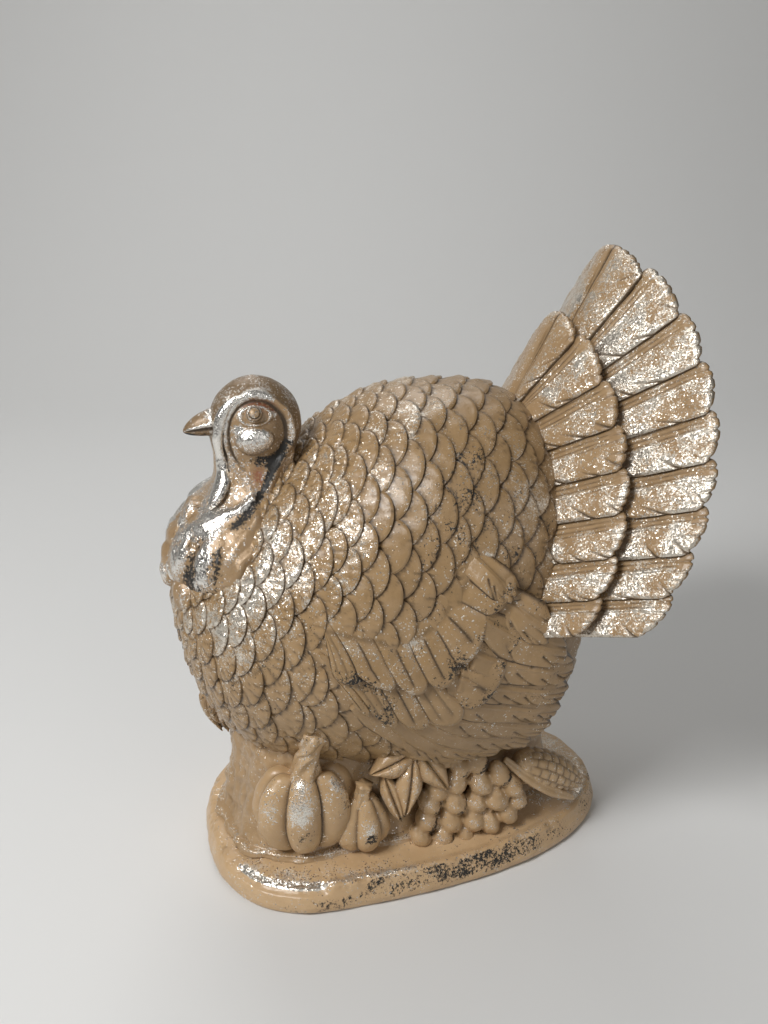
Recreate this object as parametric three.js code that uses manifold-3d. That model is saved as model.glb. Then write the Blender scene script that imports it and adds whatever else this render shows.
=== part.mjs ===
// Thanksgiving turkey figure: a display-feathered turkey standing over a heap of harvest on an oval base.
// Millimetres, +Z up, the bird looks along -Y and its left side is +X. The underside of the base is z = 0.
import * as THREE from 'three';
import { mergeVertices } from 'three/addons/utils/BufferGeometryUtils.js';
import Module from 'manifold-3d';

const wasm = await Module();
wasm.setup();

// Fit between neighbouring pieces: the glue line.
const GLUE = 0.3;

// Base plinth: an egg outline, blunter on the near front corner.
const BASE_HALF_WIDTH = 70;
const BASE_WIDEST_Y = -40;
const BASE_FRONT = 61.5;
const BASE_REAR = 144;
const BASE_FRONT_POWER = 2.7;
const BASE_FAR_POWER = 2.0;
const BASE_REAR_POWER = 2.4;
const BASE_TOP = 17;
const BASE_BEVEL = 20;

// Mound of earth between the plinth and the belly: a steep bank, shallower in front.
const MOUND_TOP = 74;
const MOUND_MARGIN = 26;
const MOUND_FRONT_SHARE = 0.55;

// Body, stations from breast to rump: [y, top, bottom, half width].
const BODY_POWER = 2.2;
const BELLY_POWER = 1.8;
const BODY = [
  [-110.5, 137, 137, 0], [-105.5, 158, 106, 26], [-98, 169, 86, 39], [-87, 180, 68, 51], [-71, 192, 55, 60],
  [-50, 204.5, 46, 67], [-28, 220, 41, 71], [-3, 229, 39, 73], [22, 229.5, 39, 72], [45, 226, 42, 67],
  [63, 212, 50, 56], [77, 192, 64, 41], [86, 166, 90, 22], [90, 130, 130, 0],
];

// The plain body that neighbours are cut to has flat faces, which lie this far below the round surface.
const BODY_SAG = 0.4;

// Scales on the body: rows round the axis from the body's middle to the neck, each over the next row.
// Places are shares of the run from the neck to the far end; counts are [place, scales in a row from there].
const SCALE_MIDDLE = new THREE.Vector3(0, -8, 146);
const SCALE_AXIS = new THREE.Vector3(0, -0.996, 0.087);
const SCALE_FIRST = 0.065;
const SCALE_LAST = 0.96;
const SCALE_PITCH = 0.0305;
const SCALE_COUNTS = [[0, 16], [0.17, 20], [0.3, 24], [0.75, 18]];
const SCALE_RELIEF = 1.9;
const SCALE_STEP = 0.001;
const NOTCH_BACK = 0.88;
const NOTCH_SUNK = 0.7;
const SIDE_BACK = 0.175;
const RUN_STEPS = 48;
const RUN_REACH = 200;

// Neck and head, stations from the breast up: [z, y of the centre, half width, half depth].
const HEAD = [
  [146, -80, 8, 8], [150, -83, 34, 26], [163, -82, 34, 26], [177, -78, 27, 22],
  [190, -71.5, 18.5, 16.5], [203, -68.5, 17, 18], [216, -67.5, 18, 20.5],
  [228, -67.5, 15, 17.8], [236, -67.8, 8, 10], [239.5, -68, 0, 0],
];
const EYE_RADIUS = 4.2;
const EYE_AT = new THREE.Vector3(13.6, -69.5, 225.4);
const BEAK_LENGTH = 15;
const BEAK_ROOT_RADIUS = 6.2;
const BEAK_TIP_RADIUS = 0.8;
const BEAK_ROOT = new THREE.Vector3(0, -85, 219);
const BEAK_AIM = new THREE.Vector3(0, -1, -0.12);
const SNOOD_RADIUS = 3.6;
const BEARD_ROOT = new THREE.Vector3(0, -93, 84);
const BEARD_AIM = new THREE.Vector3(0, 0.18, -1);
const BEARD_LENGTH = 22;
const BEARD_RADIUS = 7;
const BEARD_TIP_RADIUS = 1.5;

// Tail fan: a sheet leaning back and swept to each side of the middle feather.
// Places and spreads are in degrees from the crown; feathers reach their length beyond the root.
const FAN_AT = new THREE.Vector3(0, 42.8, 183);
const FAN_LEAN = THREE.MathUtils.degToRad(28.2);
const FAN_SWEEP = THREE.MathUtils.degToRad(28);
const FAN_FOLD = 10;
const OUTER = {
  sides: 8, root: 41.0, waistAt: 63, growth: 0.006, first: 12.7, step: 15.5, close: 0.39,
  spread: 67, pace: 2.3, length: 58, front: 0, thick: 6,
};
const INNER = {
  sides: 7, root: 25.0, waistAt: 52, growth: 0.0067, first: 13.7, step: 21.3, close: 0.9,
  spread: 64, pace: 1.6, length: 46, front: -9, thick: 6.4,
};
const FEATHER_STEP = 2.2;
const FEATHER_ROUND = 2.6;
const MIDDLE_ROUND = 10;
const TIP_THICK = 1.6;

// Wings: patches laid on the body between rows of [y, angle from the crown].
const WING_TOP_THICK = 2;
const WING_LOW_THICK = 5;
const WING_ROOT = 4;
const SHOULDER_ROW = [[-52, 76], [-22, 86], [0, 80], [15, 66]];
const FIRST_ROW = [[-50, 89], [-22, 98], [2, 94], [26, 79]];
const SECOND_ROW = [[-40, 104], [-20, 111], [8, 108], [40, 83]];
const FLIGHT_ROW = [[-28, 116], [-2, 128], [34, 128], [60, 100]];

// Harvest heap on the left bank; the right bank mirrors it. Its x places are from the bank's foot.
const BANK_FOOT = BASE_HALF_WIDTH - MOUND_MARGIN;
const PUMPKIN_AT = [-4, -57, 41];
const PUMPKIN_RADIUS = 24;
const PUMPKIN_DEPTH = 17;
const PUMPKIN_HEIGHT = 42;
const PUMPKIN_RIBS = 8;
const PUMPKIN_STEM = [[0, -58, 56], [2, -58, 68], [7, -57, 79], [11, -55, 88]];
const PUMPKIN_STEM_RADIUS = 4.5;
const SMALL_AT = [2, -32, 33];
const SMALL_RADIUS = 13.5;
const SMALL_DEPTH = 11;
const SMALL_HEIGHT = 31;
const SMALL_RIBS = 7;
const SMALL_STEM = [[2, -32, 40], [2, -31.5, 47], [3, -30, 53]];
const SMALL_STEM_RADIUS = 3.4;
const LEAF_KNOT = [4, -8, 69];
const LEAF_KNOT_RADIUS = 4.5;
const LEAF_TIPS = [[6, -28, 63], [9, -14, 39], [8, 6, 45]];
const LEAF_WIDTH = 6.5;
const LEAF_THICK = 4.5;
const GRAPE_RADIUS = 5.2;
const GRAPE_PITCH = 8.6;
const GRAPE_FACE = 8;
const GRAPE_SLOPE = 0.1;
const GRAPE_ROWS = [[60, 7, 1], [53, 11.3, 2], [46, 7, 4], [39, 2.7, 5], [32, -1.6, 5], [25, -5.9, 5]];
const CORN_ROOT = [1, 46, 50];
const CORN_TIP = [-8, 84, 25];
const CORN_RADIUS = 10;
const HUSK = [[3, 41, 45], [6, 56, 33], [1, 74, 24]];
const HUSK_RADIUS = 3.2;

// Colours: tan paint under worn silver leaf.
const TAN = new THREE.Color(0.46, 0.33, 0.2);
const SILVER = new THREE.Color(0.62, 0.56, 0.48);

const group = new THREE.Group();
group.name = 'thanksgiving_turkey_figure';

function solidOf(geometry) {
  const bare = geometry.index ? geometry.clone() : geometry;
  bare.deleteAttribute('normal');
  bare.deleteAttribute('uv');
  const merged = mergeVertices(bare, 1e-4);
  const mesh = new wasm.Mesh({
    numProp: 3,
    vertProperties: new Float32Array(merged.attributes.position.array),
    triVerts: new Uint32Array(merged.index.array),
  });
  mesh.merge();
  return new wasm.Manifold(mesh);
}

function join(solids) {
  return solids.reduce((a, b) => a.add(b));
}

function cut(solid, tools) {
  return tools.reduce((a, b) => a.subtract(b), solid);
}

// Keeps the largest body of a solid, so that a cut leaves no loose crumb.
function whole(solid) {
  const bodies = solid.decompose();
  bodies.sort((a, b) => b.volume() - a.volume());
  return bodies[0];
}

function add(name, solid, colour, roughness, metalness, detail = 0.04) {
  const mesh = whole(solid).simplify(detail).getMesh();
  const geometry = new THREE.BufferGeometry();
  const corners = [];
  for (let i = 0; i < mesh.vertProperties.length; i += mesh.numProp) {
    corners.push(mesh.vertProperties[i], mesh.vertProperties[i + 1], mesh.vertProperties[i + 2]);
  }
  geometry.setAttribute('position', new THREE.Float32BufferAttribute(corners, 3));
  geometry.setIndex(Array.from(mesh.triVerts));
  geometry.computeVertexNormals();
  const material = new THREE.MeshStandardMaterial({ color: colour, roughness, metalness });
  const node = new THREE.Mesh(geometry, material);
  node.name = name;
  group.add(node);
}

// Smooth curve through a table's rows: t runs from 0 to 1 over the rows.
function row(table, t) {
  const last = table.length - 1;
  const place = THREE.MathUtils.clamp(t, 0, 1) * last;
  const i = Math.min(Math.floor(place), last - 1);
  const u = place - i;
  const at = (n) => table[THREE.MathUtils.clamp(n, 0, last)];
  return at(i).map((_, c) => {
    const [a, b, d, e] = [at(i - 1)[c], at(i)[c], at(i + 1)[c], at(i + 2)[c]];
    const bend = (2 * a - 5 * b + 4 * d - e) * u * u;
    const twist = (3 * b - a - 3 * d + e) * u * u * u;
    return 0.5 * (2 * b + (d - a) * u + bend + twist);
  });
}

function reshape(geometry, place) {
  const corners = geometry.attributes.position;
  const point = new THREE.Vector3();
  for (let i = 0; i < corners.count; i += 1) {
    point.fromBufferAttribute(corners, i);
    point.copy(place(point));
    corners.setXYZ(i, point.x, point.y, point.z);
  }
  return geometry;
}

function squircle(value, power) {
  return Math.sign(value) * Math.abs(value) ** (2 / power);
}

// Power of the body's lower half at y: fuller towards the rump.
function bellyPower(y) {
  return THREE.MathUtils.lerp(BELLY_POWER, BODY_POWER, THREE.MathUtils.smoothstep(y, -40, 10));
}

// Body surface at table place t and angle from the crown, raised by lift.
function bodyPoint(t, angle, lift) {
  const [y, top, bottom, half] = row(BODY, t);
  const grown = t > 0.001 && t < 0.999 ? lift : 0;
  const power = Math.cos(angle) > 0 ? BODY_POWER : bellyPower(y);
  const x = squircle(Math.sin(angle), power) * (half + grown);
  const z = (top + bottom) / 2 + squircle(Math.cos(angle), power) * ((top - bottom) / 2 + grown);
  const end = lift * (2 * t - 1) ** 9;
  return new THREE.Vector3(x, y + end, z);
}

// The body without its scales, which neighbouring pieces are cut to.
function bodySolid(lift) {
  return solidOf(reshape(new THREE.SphereGeometry(1, 32, 24), (p) => {
    const t = 1 - Math.acos(THREE.MathUtils.clamp(p.y, -1, 1)) / Math.PI;
    return bodyPoint(t, Math.atan2(p.x, p.z), lift);
  }));
}

// Table place whose station lies at y.
function bodyPlace(y) {
  let low = 0;
  let high = 1;
  for (let i = 0; i < 20; i += 1) {
    const middle = (low + high) / 2;
    if (row(BODY, middle)[0] < y) {
      low = middle;
    } else {
      high = middle;
    }
  }
  return (low + high) / 2;
}

function insideBody(p) {
  if (p.y <= BODY[0][0] || p.y >= BODY[BODY.length - 1][0]) {
    return false;
  }
  const [y, top, bottom, half] = row(BODY, bodyPlace(p.y));
  const up = (2 * p.z - top - bottom) / (top - bottom);
  const power = up > 0 ? BODY_POWER : bellyPower(y);
  return Math.abs(p.x / half) ** power + Math.abs(up) ** power < 1;
}

// The body's surface from the neck to the far end, at a turn round the scales' axis.
function scaleRun(turn) {
  const over = new THREE.Vector3(0, SCALE_AXIS.z, -SCALE_AXIS.y).multiplyScalar(Math.cos(turn));
  over.x = Math.sin(turn);
  const run = [];
  for (let i = 0; i <= RUN_STEPS; i += 1) {
    const fall = Math.PI * i / RUN_STEPS;
    const aim = SCALE_AXIS.clone().multiplyScalar(Math.cos(fall)).addScaledVector(over, Math.sin(fall));
    let near = 0;
    let far = RUN_REACH;
    while (far - near > 0.01) {
      const middle = (near + far) / 2;
      if (insideBody(SCALE_MIDDLE.clone().addScaledVector(aim, middle))) {
        near = middle;
      } else {
        far = middle;
      }
    }
    const point = SCALE_MIDDLE.clone().addScaledVector(aim, near);
    const length = i === 0 ? 0 : run[i - 1].length + point.distanceTo(run[i - 1].point);
    run.push({ aim, point, length });
  }
  return run;
}

// Point of a run at a share of its length, sunk below the surface.
function runPoint(run, share, sunk) {
  const length = share * run[RUN_STEPS].length;
  const next = Math.max(1, run.findIndex((step) => step.length >= length));
  const [a, b] = [run[next - 1], run[next]];
  const part = (length - a.length) / (b.length - a.length);
  return a.point.clone().lerp(b.point, part).addScaledVector(a.aim.clone().lerp(b.aim, part), -sunk);
}

// Triangles between two loops of corners that may differ in number; a loop of one corner is a pole.
function stitch(faces, upper, lower) {
  let i = upper.length === 1 ? 1 : 0;
  let j = lower.length === 1 ? 1 : 0;
  while (i < upper.length || j < lower.length) {
    const [a, b] = [upper[i % upper.length], lower[j % lower.length]];
    if (j === lower.length || (i < upper.length && (i + 1) / upper.length <= (j + 1) / lower.length)) {
      i += 1;
      faces.push(a, upper[i % upper.length], b);
    } else {
      j += 1;
      faces.push(a, lower[j % lower.length], b);
    }
  }
}

// The body with its scales: each row has an edge loop through tips and notches, and a foot loop under it.
function scaledBody() {
  const corners = [];
  const faces = [];
  const runs = new Map();
  const corner = (turn, share, sunk) => {
    const key = turn.toFixed(5);
    if (!runs.has(key)) {
      runs.set(key, scaleRun(turn));
    }
    corners.push(...runPoint(runs.get(key), share, sunk).toArray());
    return corners.length / 3 - 1;
  };
  const setBack = [0, SIDE_BACK, 1, SIDE_BACK];
  let last = [corner(0, 0, SCALE_RELIEF)];
  for (let n = 0; SCALE_FIRST + n * SCALE_PITCH < SCALE_LAST; n += 1) {
    const tip = SCALE_FIRST + n * SCALE_PITCH;
    const count = SCALE_COUNTS.filter(([place]) => place <= tip).pop()[1];
    const loop = (lead, sunkTip, sunkNotch) => Array.from({ length: 4 * count }, (_, k) => {
      const back = setBack[(k + 2 * (n % 2)) % 4];
      const sunk = SCALE_RELIEF * THREE.MathUtils.lerp(sunkTip, sunkNotch, back);
      return corner(k * Math.PI / (2 * count), tip + lead - SCALE_PITCH * NOTCH_BACK * back, sunk);
    });
    const edge = loop(0, 0, NOTCH_SUNK);
    const foot = loop(SCALE_STEP, 1, 1);
    stitch(faces, last, edge);
    stitch(faces, edge, foot);
    last = foot;
  }
  stitch(faces, last, [corner(0, 1, SCALE_RELIEF)]);
  const skin = new THREE.BufferGeometry();
  skin.setAttribute('position', new THREE.Float32BufferAttribute(corners, 3));
  skin.setIndex(faces);
  return solidOf(skin);
}

function headSolid(lift) {
  const round = new THREE.SphereGeometry(1, 20, 16);
  round.rotateX(Math.PI / 2);
  return solidOf(reshape(round, (p) => {
    const t = 1 - Math.acos(THREE.MathUtils.clamp(p.z, -1, 1)) / Math.PI;
    const [z, y, half, deep] = row(HEAD, t);
    const flat = Math.hypot(p.x, p.y) || 1;
    const grown = t > 0.001 && t < 0.999 ? lift : 0;
    return new THREE.Vector3(
      (half + grown) * p.x / flat,
      y + (deep + grown) * p.y / flat,
      z + lift * (2 * t - 1) ** 9,
    );
  }));
}

function baseRadius(angle, inset) {
  const c = Math.cos(angle);
  const s = Math.sin(angle);
  const ahead = s < 0;
  const frontPower = c > 0 ? BASE_FRONT_POWER : BASE_FAR_POWER;
  const power = ahead ? frontPower : BASE_REAR_POWER;
  const long = (ahead ? BASE_FRONT : BASE_REAR) - inset;
  return (Math.abs(c / (BASE_HALF_WIDTH - inset)) ** power + Math.abs(s / long) ** power) ** (-1 / power);
}

// A stack of base outlines: rows are [z, inset from the outline].
// The front takes only frontShare of an inset.
function outlineStack(rows, around, frontShare, waviness) {
  const profile = rows.map((_, i) => new THREE.Vector2(i === 0 || i === rows.length - 1 ? 0 : 1, i));
  const lathe = new THREE.LatheGeometry(profile, around);
  lathe.rotateX(Math.PI / 2);
  return solidOf(reshape(lathe, (p) => {
    const [z, inset] = rows[Math.round(p.z)];
    if (Math.hypot(p.x, p.y) < 0.5) {
      return new THREE.Vector3(0, BASE_WIDEST_Y, z);
    }
    const angle = Math.atan2(p.y, p.x);
    const share = THREE.MathUtils.lerp(1, frontShare, Math.max(0, -Math.sin(angle)) ** 2);
    const wave = waviness * Math.sin(7 * angle + z * 0.2) * Math.sin(4 * angle - z * 0.1);
    const r = baseRadius(angle, inset * share) + wave;
    return new THREE.Vector3(r * Math.cos(angle), BASE_WIDEST_Y + r * Math.sin(angle), z);
  }));
}

function plinthSolid(lift) {
  return outlineStack([
    [-lift, 0], [-lift, 1.5 - lift], [2, -lift], [9, 2.5 - lift], [13.5, 7 - lift],
    [BASE_TOP + lift, BASE_BEVEL - lift], [BASE_TOP + lift, 0],
  ], 48, 1, 0);
}

function moundSolid(lift) {
  const foot = BASE_TOP + GLUE;
  return outlineStack([
    [foot - lift, 0], [foot - lift, MOUND_MARGIN - lift], [28, MOUND_MARGIN + 1 - lift],
    [44, MOUND_MARGIN + 2 - lift], [62, MOUND_MARGIN + 4 - lift],
    [MOUND_TOP + lift, MOUND_MARGIN + 10 - lift], [MOUND_TOP + lift, 0],
  ], 40, MOUND_FRONT_SHARE, 0.8);
}

// Sheet of the tail fan at sideways place x and height v along the sheet, moved back by depth.
function fanPoint(x, v, depth) {
  const fold = Math.tan(FAN_SWEEP) * (Math.hypot(x, FAN_FOLD) - FAN_FOLD);
  return new THREE.Vector3(
    x,
    FAN_AT.y + v * Math.sin(FAN_LEAN) + fold + depth,
    FAN_AT.z + v * Math.cos(FAN_LEAN),
  );
}

// Edge between feathers n and n + 1 of a fan row, at share t of its length from root to tip.
function fanEdge(fan, n, t) {
  const side = n < 0 ? -1 : 1;
  const k = n < 0 ? -n - 1 : n;
  const place = fan.first + fan.step * k - fan.close * k * k;
  const aim = THREE.MathUtils.degToRad(fan.spread * (1 - Math.exp(-(k + 0.5) / fan.pace)));
  const reach = fan.root + fan.length + fan.growth * (place - fan.waistAt) ** 2;
  const turn = THREE.MathUtils.degToRad(place);
  const back = fan.length * (1 - t);
  return new THREE.Vector2(
    side * (reach * Math.sin(turn) - back * Math.sin(aim)),
    reach * Math.cos(turn) - back * Math.cos(aim),
  );
}

// One slab feather between two edges; its lower long edge stands proud of the next feather.
function featherSolid(fan, n) {
  const slab = new THREE.BoxGeometry(1, 1, 1, 3, 5, 1);
  return solidOf(reshape(slab, (p) => {
    const across = p.x + 0.5;
    const t = p.y + 0.5;
    const low = fanEdge(fan, n - 1, 1);
    const high = fanEdge(fan, n, 1);
    const gap = GLUE / low.distanceTo(high);
    const share = THREE.MathUtils.lerp(gap / 2 + 0.004, 1 - gap / 2 - 0.004, across);
    const round = (n === 0 ? MIDDLE_ROUND : FEATHER_ROUND) * (0.75 - (2 * across - 1) ** 2) * t ** 5;
    const reach = t + round / fan.length;
    const at = fanEdge(fan, n - 1, reach).lerp(fanEdge(fan, n, reach), share);
    const proud = n === 0 ? Math.abs(2 * across - 1) : n > 0 ? across : 1 - across;
    const face = fan.front - FEATHER_STEP * proud;
    const back = THREE.MathUtils.lerp(fan.front + fan.thick, face + TIP_THICK, t);
    const depth = p.z > 0 ? face : back;
    return fanPoint(at.x, at.y, depth);
  }));
}

// Wing patch between two rows; it reaches into the body, which cuts its underside.
function wingSolid(upper, lower, side, lift) {
  const slab = new THREE.BoxGeometry(1, 1, 1, 9, 3, 1);
  const edge = lift * 0.05;
  const placed = reshape(slab, (p) => {
    const along = p.x + 0.5;
    const down = 0.5 - p.y;
    const a = row(upper, along);
    const b = row(lower, along);
    const share = THREE.MathUtils.lerp(0.012 - edge, 0.988 + edge, down);
    const y = THREE.MathUtils.lerp(a[0], b[0], share) + (2 * along - 1) * lift * 1.5;
    const angle = THREE.MathUtils.degToRad(THREE.MathUtils.lerp(a[1], b[1], share));
    const raised = THREE.MathUtils.lerp(WING_TOP_THICK, WING_LOW_THICK, down) + lift;
    const point = bodyPoint(bodyPlace(y), angle, p.z > 0 ? raised : -WING_ROOT);
    return new THREE.Vector3(side * point.x, point.y, point.z);
  });
  return solidOf(side > 0 ? placed : flip(placed));
}

function flip(geometry) {
  const order = Array.from(geometry.index.array);
  for (let i = 0; i < order.length; i += 3) {
    [order[i], order[i + 1]] = [order[i + 1], order[i]];
  }
  geometry.setIndex(order);
  return geometry;
}

function ball(x, y, z, radius, around = 10, down = 6) {
  const geometry = new THREE.SphereGeometry(radius, around, down);
  geometry.translate(x, y, z);
  return solidOf(geometry);
}

function turned(geometry, root, aim) {
  const turn = new THREE.Quaternion();
  turn.setFromUnitVectors(new THREE.Vector3(0, 1, 0), aim.clone().normalize());
  geometry.applyQuaternion(turn);
  geometry.translate(root.x, root.y, root.z);
  return solidOf(geometry);
}

function cone(root, aim, length, radius, tip) {
  const geometry = new THREE.CylinderGeometry(tip, radius, length, 12, 1);
  geometry.translate(0, length / 2, 0);
  return turned(geometry, root, aim);
}

function rope(points, radius) {
  const shape = new THREE.Shape();
  shape.absarc(0, 0, radius, 0, 2 * Math.PI);
  const path = new THREE.CatmullRomCurve3(points);
  return solidOf(new THREE.ExtrudeGeometry(shape, {
    steps: 5, curveSegments: 8, extrudePath: path, bevelEnabled: false,
  }));
}

function pumpkin(at, radius, depth, height, ribs, lift) {
  const geometry = new THREE.SphereGeometry(1, ribs * 2, 8);
  geometry.rotateX(Math.PI / 2);
  return solidOf(reshape(geometry, (p) => {
    const rib = 1 - 0.05 * (1 + Math.cos(ribs * Math.atan2(p.y, p.x) + Math.PI));
    const dip = height * 0.12 * Math.exp(-((Math.hypot(p.x, p.y) / 0.3) ** 2)) * Math.sign(p.z);
    return new THREE.Vector3(
      at.x + (depth * rib + lift) * p.x,
      at.y + (radius * rib + lift) * p.y,
      at.z + (height / 2 + lift) * p.z - dip,
    );
  }));
}

// A pointed leaf from root to tip.
function leaf(root, tip, width, thick) {
  const aim = tip.clone().sub(root);
  const geometry = reshape(new THREE.SphereGeometry(1, 10, 8), (p) => {
    const point = 1 - 0.35 * p.y;
    return new THREE.Vector3(p.x * thick, (p.y + 1) * aim.length() / 2, p.z * width * point);
  });
  return turned(geometry, root, aim);
}

const bodyClear = bodySolid(GLUE + BODY_SAG);
const headClear = headSolid(GLUE);
const plinthClear = plinthSolid(GLUE);
const moundClear = moundSolid(GLUE);

add('base_plinth', plinthSolid(0), TAN, 0.55, 0.2);
add('ground_mound', cut(moundSolid(0), [bodyClear]), TAN, 0.6, 0.15);
add('body', scaledBody(), TAN, 0.5, 0.25);
add('head_and_neck', cut(headSolid(0), [bodyClear]), SILVER, 0.3, 0.8);

function beakSolid(lift) {
  return cone(BEAK_ROOT, BEAK_AIM, BEAK_LENGTH, BEAK_ROOT_RADIUS + lift, BEAK_TIP_RADIUS + lift);
}
add('beak', cut(beakSolid(0), [headClear]), TAN, 0.45, 0.4);

const SNOOD_PATH = [[8, -82, 229.5], [8.5, -85, 223], [8.8, -86.3, 214], [8.8, -86, 204], [9.5, -85.5, 192]];
const snoodEnd = SNOOD_PATH[SNOOD_PATH.length - 1];
const snood = join([
  rope(SNOOD_PATH.map((p) => new THREE.Vector3(...p)), SNOOD_RADIUS),
  ball(snoodEnd[0], snoodEnd[1], snoodEnd[2], SNOOD_RADIUS * 1.4),
]);
add('snood', cut(snood, [headClear, beakSolid(GLUE)]), SILVER, 0.3, 0.8);

const SIDES = [[1, 'left'], [-1, 'right']];
for (const [side, name] of SIDES) {
  const eye = ball(side * EYE_AT.x, EYE_AT.y, EYE_AT.z, EYE_RADIUS, 12, 8);
  add(`eye_${name}`, cut(eye, [headClear]), SILVER, 0.25, 0.85);
}

// Wattle lumps on the neck front: [x, y, z, radius], each off-centre one on both sides.
const LUMPS = [
  [0, -101, 166, 11], [0, -104.5, 152, 11], [13, -99, 160, 11], [24, -92, 156, 10.5], [16, -101, 147, 10],
  [10, -92, 175, 9], [32, -84, 161, 9], [27, -83, 170, 8],
];
const lumps = LUMPS.flatMap(([x, y, z, r]) => (x === 0 ? [[0, y, z, r]] : [[x, y, z, r], [-x, y, z, r]]));
const wattle = join(lumps.map((lump) => ball(...lump, 9, 6)));
add('wattle', cut(wattle, [headClear, bodyClear]), SILVER, 0.35, 0.7);

const beard = join([
  cone(BEARD_ROOT, BEARD_AIM, BEARD_LENGTH, BEARD_RADIUS, BEARD_TIP_RADIUS),
  ball(BEARD_ROOT.x, BEARD_ROOT.y, BEARD_ROOT.z, BEARD_RADIUS),
]);
add('beard_tuft', cut(beard, [bodyClear]), TAN, 0.5, 0.3);

const wingClear = [];
for (const [side, name] of SIDES) {
  const rows = [
    ['covert_row_1', SHOULDER_ROW, FIRST_ROW],
    ['covert_row_2', FIRST_ROW, SECOND_ROW],
    ['flight_feathers', SECOND_ROW, FLIGHT_ROW],
  ];
  for (const [part, upper, lower] of rows) {
    const patch = wingSolid(upper, lower, side, 0);
    add(`wing_${name}_${part}`, cut(patch, [bodyClear]), TAN, 0.5, 0.3);
  }
  wingClear.push(wingSolid(SECOND_ROW, FLIGHT_ROW, side, GLUE));
}

for (const [fan, name] of [[OUTER, 'outer'], [INNER, 'inner']]) {
  for (let n = -fan.sides; n <= fan.sides; n += 1) {
    const place = n === 0 ? 'middle' : `${n > 0 ? 'left' : 'right'}_${Math.abs(n)}`;
    const feather = cut(featherSolid(fan, n), [bodyClear, ...wingClear]);
    add(`tail_${name}_feather_${place}`, feather, SILVER, 0.35, 0.7);
  }
}

for (const [side, name] of SIDES) {
  const at = ([x, y, z]) => new THREE.Vector3(side * (BANK_FOOT + x), y, z);
  const large = (lift) => join([
    pumpkin(at(PUMPKIN_AT), PUMPKIN_RADIUS, PUMPKIN_DEPTH, PUMPKIN_HEIGHT, PUMPKIN_RIBS, lift),
    rope(PUMPKIN_STEM.map(at), PUMPKIN_STEM_RADIUS + lift),
  ]);
  const small = (lift) => join([
    pumpkin(at(SMALL_AT), SMALL_RADIUS, SMALL_DEPTH, SMALL_HEIGHT, SMALL_RIBS, lift),
    rope(SMALL_STEM.map(at), SMALL_STEM_RADIUS + lift),
  ]);
  const sprig = (lift) => join([
    ball(...at(LEAF_KNOT).toArray(), LEAF_KNOT_RADIUS + lift, 8, 6),
    ...LEAF_TIPS.map((tip) => leaf(at(LEAF_KNOT), at(tip), LEAF_WIDTH + lift, LEAF_THICK + lift)),
  ]);
  const grapes = (lift) => join(GRAPE_ROWS.flatMap(([z, y, count]) => {
    const x = side * (BANK_FOOT + GRAPE_FACE - GRAPE_SLOPE * z);
    const places = Array.from({ length: count }, (_, i) => y + i * GRAPE_PITCH);
    return places.map((place) => ball(x, place, z, GRAPE_RADIUS + lift, 6, 4));
  }));
  const corn = (lift) => {
    const cob = new THREE.SphereGeometry(1, 14, 10);
    const aim = at(CORN_TIP).sub(at(CORN_ROOT));
    cob.scale(CORN_RADIUS + lift, aim.length() / 2, CORN_RADIUS + lift);
    cob.translate(0, aim.length() / 2, 0);
    return join([turned(cob, at(CORN_ROOT), aim), rope(HUSK.map(at), HUSK_RADIUS + lift)]);
  };
  const bank = [plinthClear, moundClear, bodyClear, wingClear[side > 0 ? 0 : 1]];
  add(`pumpkin_large_${name}`, cut(large(0), bank), TAN, 0.45, 0.35);
  add(`pumpkin_small_${name}`, cut(small(0), [...bank, large(GLUE)]), TAN, 0.45, 0.35);
  add(`leaf_sprig_${name}`, cut(sprig(0), [...bank, large(GLUE), small(GLUE)]), TAN, 0.5, 0.3);
  add(`grape_cluster_${name}`, cut(grapes(0), [...bank, small(GLUE), sprig(GLUE)]), TAN, 0.45, 0.3, 0.12);
  add(`corn_ear_${name}`, cut(corn(0), [...bank, grapes(GLUE)]), TAN, 0.5, 0.3);
}

export default group;
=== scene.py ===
import math

import bmesh
import bpy
import numpy as np
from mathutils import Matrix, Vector, noise


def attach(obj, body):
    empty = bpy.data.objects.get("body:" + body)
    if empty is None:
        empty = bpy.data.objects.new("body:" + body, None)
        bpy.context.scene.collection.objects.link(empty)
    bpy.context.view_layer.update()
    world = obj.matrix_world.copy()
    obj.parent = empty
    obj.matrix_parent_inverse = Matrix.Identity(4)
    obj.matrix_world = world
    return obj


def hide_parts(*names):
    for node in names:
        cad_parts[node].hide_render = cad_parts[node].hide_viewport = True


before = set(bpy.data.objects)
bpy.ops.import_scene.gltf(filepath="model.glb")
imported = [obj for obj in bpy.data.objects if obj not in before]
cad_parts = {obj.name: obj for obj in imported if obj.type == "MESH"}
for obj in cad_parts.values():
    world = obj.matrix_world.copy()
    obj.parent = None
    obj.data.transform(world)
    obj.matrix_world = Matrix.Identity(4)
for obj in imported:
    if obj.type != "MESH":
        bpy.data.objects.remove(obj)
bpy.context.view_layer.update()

# Plinth: the egg-shaped slab that the figure stands on, cast in resin with a rolled top edge.
# It is painted tan; silver leaf is rubbed on the near front lip, and black is left along the near side.
PLINTH_HALF_WIDTH = 70.0
PLINTH_WIDEST_Y = -40.0
PLINTH_FRONT = 61.5
PLINTH_REAR = 144.0
PLINTH_PROFILE = np.array([  # height and inset of each row
    [0.0, 2.6], [0.9, 1.0], [2.2, 0.2], [4.5, 0.0], [7.5, 0.6], [9.8, 1.5], [11.6, 2.3], [12.7, 3.4],
    [13.4, 5.2], [13.9, 8.0], [14.5, 11.5], [15.2, 15.5], [16.2, 20.5], [17.1, 28.0],
])
MM = 0.001  # metres
RUST = (0.26, 0.075, 0.035)
BLACK = (0.014, 0.012, 0.010)


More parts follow.
